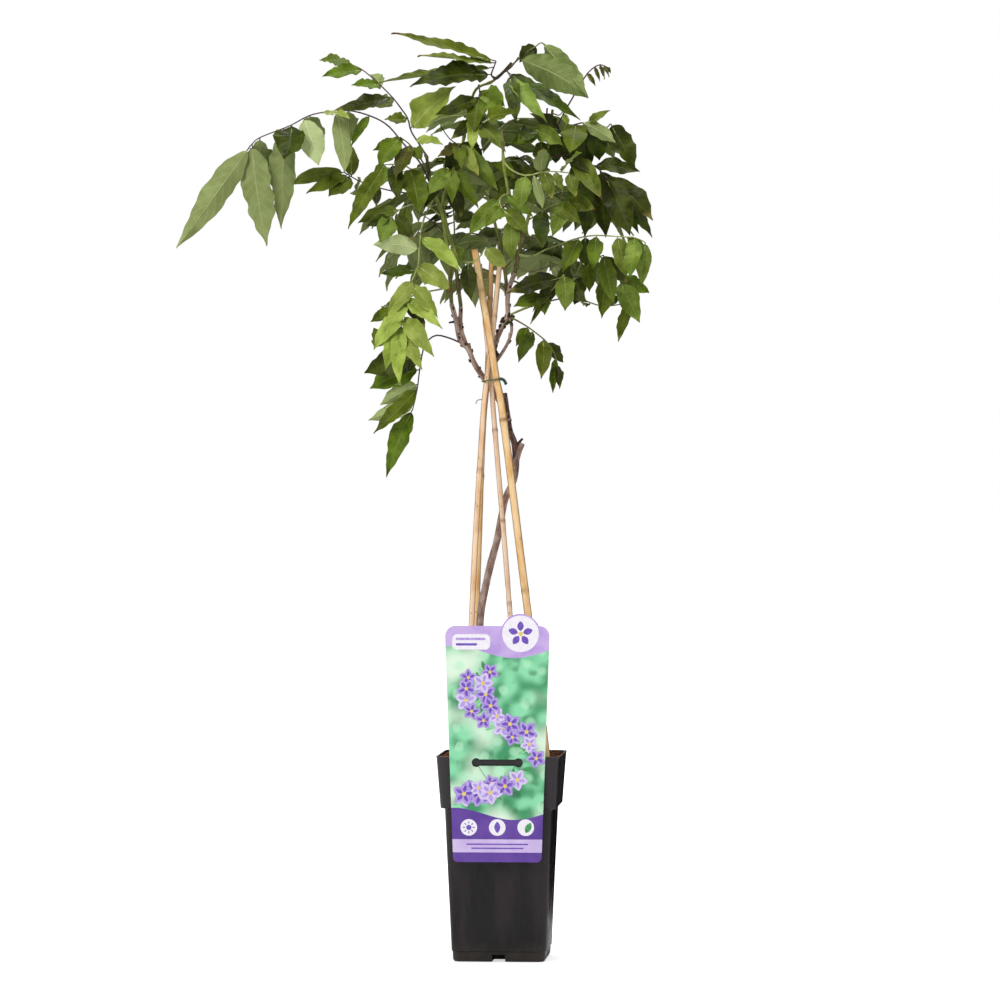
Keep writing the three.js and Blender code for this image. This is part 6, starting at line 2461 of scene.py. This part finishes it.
@dataclass
class Label:
    """The plastic card in front of the pot: its slot and slits, and its print in thin raised inks.

    Everything is drawn flat, with x across, y up the card and z out of it, and stood up at the end.
    A level is a height above the card, counted in thicknesses of ink.

    Attributes:
        width: its width at the top.
        foot: its width at the foot.
        low: the height of its foot.
        high: the height of its top.
        thick: its thickness.
        back: how far its back stands before the pot's axis.
        corners: the radii of its upper and of its lower corners.
        disc: the badge's middle and its radius.
        slot: the slot's length, its lower and its upper side, and the radius of its round ends.
        slits: the ends of each slit.
        slit: the slits' width.
        ink: the thickness of the ink.
        stem: the middle line of the printed spray.
        blossoms: how many blossoms it has.
        icons: the height and the radius of the care discs, and the distance between two.
        bars: the bare strips that stand for lines of text, at the head and at the foot.
    """

    width: float = 88.6
    foot: float = 74.4
    low: float = 85.3
    high: float = 284
    thick: float = 0.8
    back: float = 52.8
    corners: tuple[float, float] = (9, 4)
    disc: Point = (19.6, 277.4, 16.8)
    slot: tuple[float, float, float, float] = (35.5, 166.3, 171.7, 3.8)
    slits: tuple[tuple[Point, Point], ...] = (
        ((-16.5, 167, 0), (-1.6, 144, 0)), ((15.5, 167, 0), (1.4, 144, 0)),
    )
    slit: float = 0.4
    ink: float = 0.05
    stem: tuple[Point, ...] = (
        (-24, 138, 0), (-14, 143, 0), (6, 150, 0), (23, 168, 0), (16, 192, 0), (-8, 206, 0), (-20, 226, 0),
        (-10, 246, 0),
    )
    blossoms: int = 30
    icons: Point = (114.5, 7, 24)
    bars: tuple[Bar, ...] = (
        Bar((-38, 264), (-6, 277), 4, 0, Ink.WHITE),
        Bar((-35, 272), (-10, 274), 0.9, 1, Ink.LILAC),
        Bar((-35, 267.4), (-17, 269.4), 0.9, 1, Ink.VIOLET),
        Bar((-26, 99.8), (26, 101), 0.5, 0, Ink.VIOLET),
        Bar((-22, 96.4), (22, 97.6), 0.5, 0, Ink.VIOLET),
    )

    PETALS = 5
    LEAF_PAIRS = 34  # along the stem of the printed spray
    FLOWER_STEP = 0.12  # the levels between two petals of one flower

    def _stand(self) -> Matrix:
        """What stands the flat drawing up in front of the pot."""
        return POT_PLACE @ Matrix.Translation((0, -self.back, 0)) @ Matrix.Rotation(math.pi / 2, 4, "X")

    def _block(self, bm: BMesh, centre: Sequence[float], size: Point, turn: float = 0) -> None:
        """A block, turned in the card's plane."""
        place = Matrix.Translation(centre) @ Matrix.Rotation(turn, 4, "Z") @ Matrix.Diagonal((*size, 1))
        bmesh.ops.create_cube(bm, size=1, matrix=place)

    def _round(self, bm: BMesh, x: float, y: float, radius: float, low: float, high: float, sides: int
               ) -> list[BMFace]:
        """The faces of a new disc between two heights.

        Args:
            bm: the mesh in the making.
            x: its middle, across.
            y: its middle, up the card.
            radius: its radius.
            low: the lower height.
            high: the upper height.
            sides: how many sides it has.

        Returns:
            The faces.
        """
        place = Matrix.Translation((x, y, (low + high) / 2))
        made = bmesh.ops.create_cone(bm, cap_ends=True, segments=sides, radius1=radius, radius2=radius,
                                     depth=high - low, matrix=place)["verts"]
        return list({face for vert in made for face in vert.link_faces})

    def _body(self, bm: BMesh) -> None:
        """The card's tapered outline with round corners, drawn to its thickness.

        Args:
            bm: the mesh in the making.
        """
        bmesh.ops.create_grid(bm, x_segments=1, y_segments=1, size=1)
        for vert in bm.verts:
            half = (self.width if vert.co.y > 0 else self.foot) / 2
            vert.co = Vector((vert.co.x * half, self.high if vert.co.y > 0 else self.low, 0))
        middle = (self.low + self.high) / 2
        for offset, upper in zip(self.corners, (True, False)):
            chosen = [vert for vert in bm.verts if (vert.co.y > middle) is upper]
            bmesh.ops.bevel(bm, geom=chosen, offset=offset, affect="VERTICES", segments=8, profile=0.5,
                            material=-1)
        bmesh.ops.solidify(bm, geom=bm.faces[:], thickness=-self.thick)

    def _openings(self, bm: BMesh) -> None:
        """The slot, its round ends and the two slits.

        Args:
            bm: the mesh in the making.
        """
        span, low, high, bead = self.slot
        middle = (low + high) / 2
        self._block(bm, (0, middle, 0.5), (span, high - low, 5))
        for x in (-span / 2, span / 2):
            self._round(bm, x, middle, bead, -2, 3, 24)
        for start, end in self.slits:
            run = Vector(end) - Vector(start)
            centre = (Vector(start) + Vector(end)) / 2
            self._block(bm, centre, (run.length, self.slit, 5), math.atan2(run.y, run.x))

    def card(self) -> Object:
        """Builds the card with its disc, slot and slits.

        Returns:
            The card.
        """
        piece = Piece("label_card", [CardFinish().made()], "label", ("label",), self._stand(), sharp=30)
        self._body(piece.bm)
        made = piece.finished()
        badge, openings = bmesh.new(), bmesh.new()
        self._round(badge, *self.disc, 0, self.thick, 64)
        self._openings(openings)
        carve(made, as_object("badge", badge, self._stand()), "UNION")
        carve(made, as_object("openings", openings, self._stand()))
        return made

    def _dot(self, piece: Piece, x: float, y: float, radius: float, level: float, ink: Ink, sides: int = 20,
             deep: float = 1) -> None:
        """A disc of ink."""
        low = self.thick + level * self.ink
        finish_faces(self._round(piece.bm, x, y, radius, low, low + deep * self.ink, sides), ink)

    def _petal(self, piece: Piece, foot: Vector, angle: float, size: tuple[float, float], level: float,
               ink: Ink) -> None:
        """A pointed oval of ink, a petal or a leaf, with a length and a width.

        Args:
            piece: the piece that takes it.
            foot: where it springs.
            angle: the way that it points.
            size: its length and its width.
            level: its level.
            ink: its ink.
        """
        faces = self._round(piece.bm, 0, 0, 1, 0, self.ink, 14)
        verts = list({vert for face in faces for vert in face.verts})
        for vert in verts:
            share = (vert.co.x + 1) / 2
            vert.co.x = share * size[0]
            vert.co.y *= size[1] / 2 * (0.35 + 0.65 * math.sin(math.pi * min(1, share * 0.8 + 0.12)))
        place = Matrix.Translation((foot.x, foot.y, self.thick + level * self.ink))
        bmesh.ops.transform(piece.bm, matrix=place @ Matrix.Rotation(angle, 4, "Z"), verts=verts)
        finish_faces(faces, ink)

    def _blossom(self, piece: Piece, middle: Vector, size: float, turn: float, level: float,
                 tones: tuple[Ink, Ink]) -> None:
        """A blossom with five petals, two tones and a yellow eye, each shape a hair above the last.

        Args:
            piece: the piece that takes it.
            middle: its middle.
            size: a petal's length.
            turn: the angle of its first petal.
            level: its level.
            tones: the two inks of a petal.
        """
        step = self.FLOWER_STEP
        for k in range(self.PETALS):
            angle = turn + k * math.tau / self.PETALS
            self._petal(piece, middle, angle, (size, size * 0.72), level + step * k, tones[0])
            start = middle + spoke(angle, size * 0.12)
            self._petal(piece, start, angle, (size * 0.62, size * 0.3), level + step * (k + 6), tones[1])
        self._dot(piece, middle.x, middle.y, size * 0.17, level + step * 12, Ink.YELLOW, 12, 1.5)

    def _bar(self, piece: Piece, bar: Bar) -> None:
        """A strip of ink with round corners.

        Args:
            piece: the piece that takes it.
            bar: the strip.
        """
        bm, low, high = piece.bm, bar.low, bar.high
        base = self.thick + bar.level * self.ink
        place = Matrix.Translation(((low[0] + high[0]) / 2, (low[1] + high[1]) / 2, base))
        shape = Matrix.Diagonal(((high[0] - low[0]) / 2, (high[1] - low[1]) / 2, 1, 1))
        made = bmesh.ops.create_grid(bm, x_segments=1, y_segments=1, size=1, matrix=place @ shape)["verts"]
        made = bmesh.ops.bevel(bm, geom=made, offset=bar.corner, affect="VERTICES", segments=6,
                               profile=0.5, material=-1)
        face = made["verts"][0].link_faces[0]
        walls = bmesh.ops.solidify(bm, geom=[face], thickness=-self.ink)["geom"]
        finish_faces([face, *made_of(walls, BMFace)], bar.ink)

    def _clear(self, point: Vector, reach: float) -> bool:
        """Whether a motif round a point stays off the slot.

        Args:
            point: the motif's middle.
            reach: how far it reaches.

        Returns:
            True where it stays clear.
        """
        span, low, high, bead = self.slot
        beyond = abs(point.x) - span / 2 - bead
        above = max(point.y - high, low - point.y)
        return max(beyond, above) > reach

    def _leaves(self, piece: Piece, stem: Line) -> None:
        """The small leaves on both sides of the spray's stem.

        Args:
            piece: the piece that takes it.
            stem: the spray's stem.
        """
        for k in range(self.LEAF_PAIRS):
            place = stem.last * k / (self.LEAF_PAIRS - 1)
            point, along = stem.point(place), stem.tangent(place)
            for side in (-1, 1):
                angle = math.atan2(along.y, along.x) + side * lerp(0.7, 1.2, draw(k + side))
                length = lerp(8, 12, draw(k * 2 + side))
                if self._clear(point, 2) and self._clear(point + spoke(angle) * length, 1):
                    level = 0.02 * (2 * k + (side > 0))
                    ink = Ink.MINT if (k + side) % 2 else Ink.GREEN
                    self._petal(piece, point, angle, (length, 3.6), level, ink)

    def _spray(self, piece: Piece) -> None:
        """The flowering spray that climbs the card from its lower left to its upper right.

        Args:
            piece: the piece that takes it.
        """
        stem = Line.through(self.stem)
        self._leaves(piece, stem)
        for k in range(self.blossoms):
            reach = lerp(5, 11, draw(k + 0.2))
            aside = Vector((reach if k % 2 else -reach, 2, 0))
            point = stem.point(stem.last * (k + 0.4) / self.blossoms) + aside
            size = lerp(7.5, 10.5, draw(k + 0.6))
            if self._clear(point, size * 0.9):
                tones = (Ink.LILAC, Ink.VIOLET) if k % 3 else (Ink.PALE, Ink.LILAC)
                self._blossom(piece, point, size, draw(k) * 2, 2 + 1.8 * (k % 4), tones)

    def _badge(self, piece: Piece) -> None:
        """A plain star flower on the white disc.

        Args:
            piece: the piece that takes it.
        """
        x, y, radius = self.disc
        self._dot(piece, x, y, radius - 1.4, 0, Ink.WHITE, 64)
        for k in range(self.PETALS):
            angle = math.pi / 2 + k * math.tau / self.PETALS
            foot = Vector((x, y, 0)) + spoke(angle) * 2.4
            self._petal(piece, foot, angle, (8.2, 5.6), 1 + self.FLOWER_STEP * k, Ink.VIOLET)
        self._dot(piece, x, y, 1.9, 1, Ink.YELLOW)

    def _icons(self, piece: Piece) -> None:
        """Three plain care discs in a row: a sun, a drop and a leaf.

        Args:
            piece: the piece that takes it.
        """
        y, radius, gap = self.icons
        for x in (-gap, 0, gap):
            self._dot(piece, x, y, radius, 0, Ink.WHITE, 32)
        for ray in range(8):
            angle = ray * math.tau / 8
            self._petal(piece, Vector((-gap, y, 0)) + spoke(angle) * 2.9, angle, (2.4, 0.9), 1, Ink.VIOLET)
        self._dot(piece, -gap, y, 2.2, 1, Ink.VIOLET)
        self._petal(piece, Vector((0, y + 4.8, 0)), -math.pi / 2, (9.4, 5.2), 1, Ink.VIOLET)
        self._petal(piece, Vector((gap, y - 4.4, 0)), 1.1, (9.4, 5.2), 1, Ink.GREEN)

    def inks(self) -> Object:
        """Builds the raised inks: the spray, the emblem, the bare strips and the care discs.

        Returns:
            The print.
        """
        finishes = [PlainFinish("ink_" + ink.name.lower(), *INKS[ink], 500, 0.4).made() for ink in Ink]
        piece = Piece("label_inks", finishes, "label", (), self._stand(), sharp=30)
        self._spray(piece)
        self._badge(piece)
        self._icons(piece)
        for bar in self.bars:
            self._bar(piece, bar)
        return piece.finished()

    def build(self) -> None:
        """Builds the card and its print."""
        self.card()
        self.inks()


# ---------------- studio


class Lamp(NamedTuple):
    """A soft square lamp: its name, its place in metres, its size and its power."""

    name: str
    place: Point
    size: float
    power: float


@dataclass
class Studio:
    """The pale floor, the soft lights and the camera.

    Attributes:
        aim: the camera's place.
        down: the degrees that it looks down.
        turn: the degrees that it is turned about the upright.
        focal: its focal length in millimetres, on a sensor of 36.
        target: what the lamps face.
        flag_size: the size of the black card.
        flag_place: its middle.
    """

    aim: Point = (0.3357, -4.4875, 0.434)
    down: float = 0.57
    turn: float = 4.3
    focal: float = 190.6
    target: Point = (0, 0, 0.45)
    flag_size: Point = (0.8, 0.01, 0.4)
    flag_place: Point = (0.36, 0.35, 0.2)
    lamps: tuple[Lamp, ...] = (
        Lamp("key", (-1.2, -2.4, 2.4), 1.2, 62),
        Lamp("fill", (2.4, -1.8, 1.2), 1.4, 18),
        Lamp("top", (0.2, 0.2, 2.6), 1.2, 34),
        Lamp("side", (-2.4, -0.5, 0.6), 0.7, 7),
        Lamp("rear", (-0.8, 2.6, 1.6), 1.2, 30),
    )

    WHITE = (1, 1, 1, 1)
    FLOOR, FLOOR_DROP = 12, 0.0003  # half the floor's width, and how far it lies below the pot
    SENSOR = 36

    def _floor(self) -> None:
        """Lays the pale floor a hair below the pot."""
        bm = bmesh.new()
        bmesh.ops.create_grid(bm, x_segments=1, y_segments=1, size=self.FLOOR)
        floor = as_object("floor", bm, Matrix.Translation((0, 0, -self.FLOOR_DROP)))
        shade = Shading("floor", Roughness=0.9, Specular_IOR_Level=0.1, Base_Color="c9c9c9",
                        Emission_Color=self.WHITE)
        away = shade.add("VectorMath", {0: shade.place()}, operation="LENGTH").outputs["Value"]
        seen = shade.add("LightPath").outputs["Is Camera Ray"]
        glow = shade.times(shade.step(away, 0.08, 0.7, 0.62, 1.0), seen)
        floor.data.materials.append(shade.ended(Emission_Strength=glow))

    def _flag(self) -> None:
        """Stands a black card behind the pot, at its right, that shows only in reflections."""
        bm = bmesh.new()
        bmesh.ops.create_cube(bm, size=1)
        flag = as_object("flag", bm, Matrix.Diagonal((*self.flag_size, 1)))
        flag.location = self.flag_place
        black = Shading("flag", Roughness=1.0, Specular_IOR_Level=0.0, Base_Color="050505")
        flag.data.materials.append(black.made)
        flag.visible_camera = flag.visible_diffuse = flag.visible_shadow = False

    def _world(self) -> None:
        """Fills the background with white, and the room with softer white light."""
        world = bpy.data.worlds.new("studio")
        world.use_nodes = True
        bpy.context.scene.world = world
        graph = Graph(world.node_tree)
        room = graph.tree.nodes["Background"]
        graph.fill(room, {"Color": (1, 0.99, 0.96, 1), "Strength": 0.36})
        white = graph.add("Background", {"Color": self.WHITE, "Strength": 1.0})
        seen = graph.add("LightPath").outputs["Is Camera Ray"]
        mixed = graph.add("MixShader", {0: seen, 1: room.outputs[0], 2: white.outputs[0]})
        graph.fill(graph.tree.nodes["World Output"], {"Surface": mixed.outputs[0]})

    def _lamp(self, lamp: Lamp) -> None:
        """Hangs one lamp that faces the plant.

        Args:
            lamp: the lamp's place and strength.
        """
        data = bpy.data.lights.new(lamp.name, "AREA")
        data.size = lamp.size
        data.energy = lamp.power
        hung = bpy.data.objects.new(lamp.name, data)
        hung.location = lamp.place
        away = Vector(self.target) - Vector(lamp.place)
        hung.rotation_euler = away.to_track_quat("-Z", "Y").to_euler()
        bpy.context.scene.collection.objects.link(hung)

    def _camera(self) -> None:
        """Sets the camera a long way off, level with the plant's middle."""
        data = bpy.data.cameras.new("camera")
        data.lens = self.focal
        data.sensor_width = self.SENSOR
        camera = bpy.data.objects.new("camera", data)
        camera.location = self.aim
        camera.rotation_euler = (math.radians(90 - self.down), 0, math.radians(self.turn))
        bpy.context.scene.collection.objects.link(camera)
        bpy.context.scene.camera = camera

    def build(self) -> None:
        """Sets up the whole studio."""
        self._floor()
        self._flag()
        self._world()
        for lamp in self.lamps:
            self._lamp(lamp)
        self._camera()
        bpy.context.scene.view_settings.view_transform = "Standard"


def main() -> None:
    """Builds the studio and each sub-assembly."""
    logging.basicConfig(level=logging.INFO, format="%(name)s %(message)s")
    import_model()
    Studio().build()
    Pot().build()
    Soil().build()
    Label().build()
    Canes().build()
    Tie().build()
    Wood().build()
    Shoots().build()
    Foliage({name: stem.line for name, stem in (WOOD | SHOOTS).items()}).build()


if __name__ == "__main__":
    main()
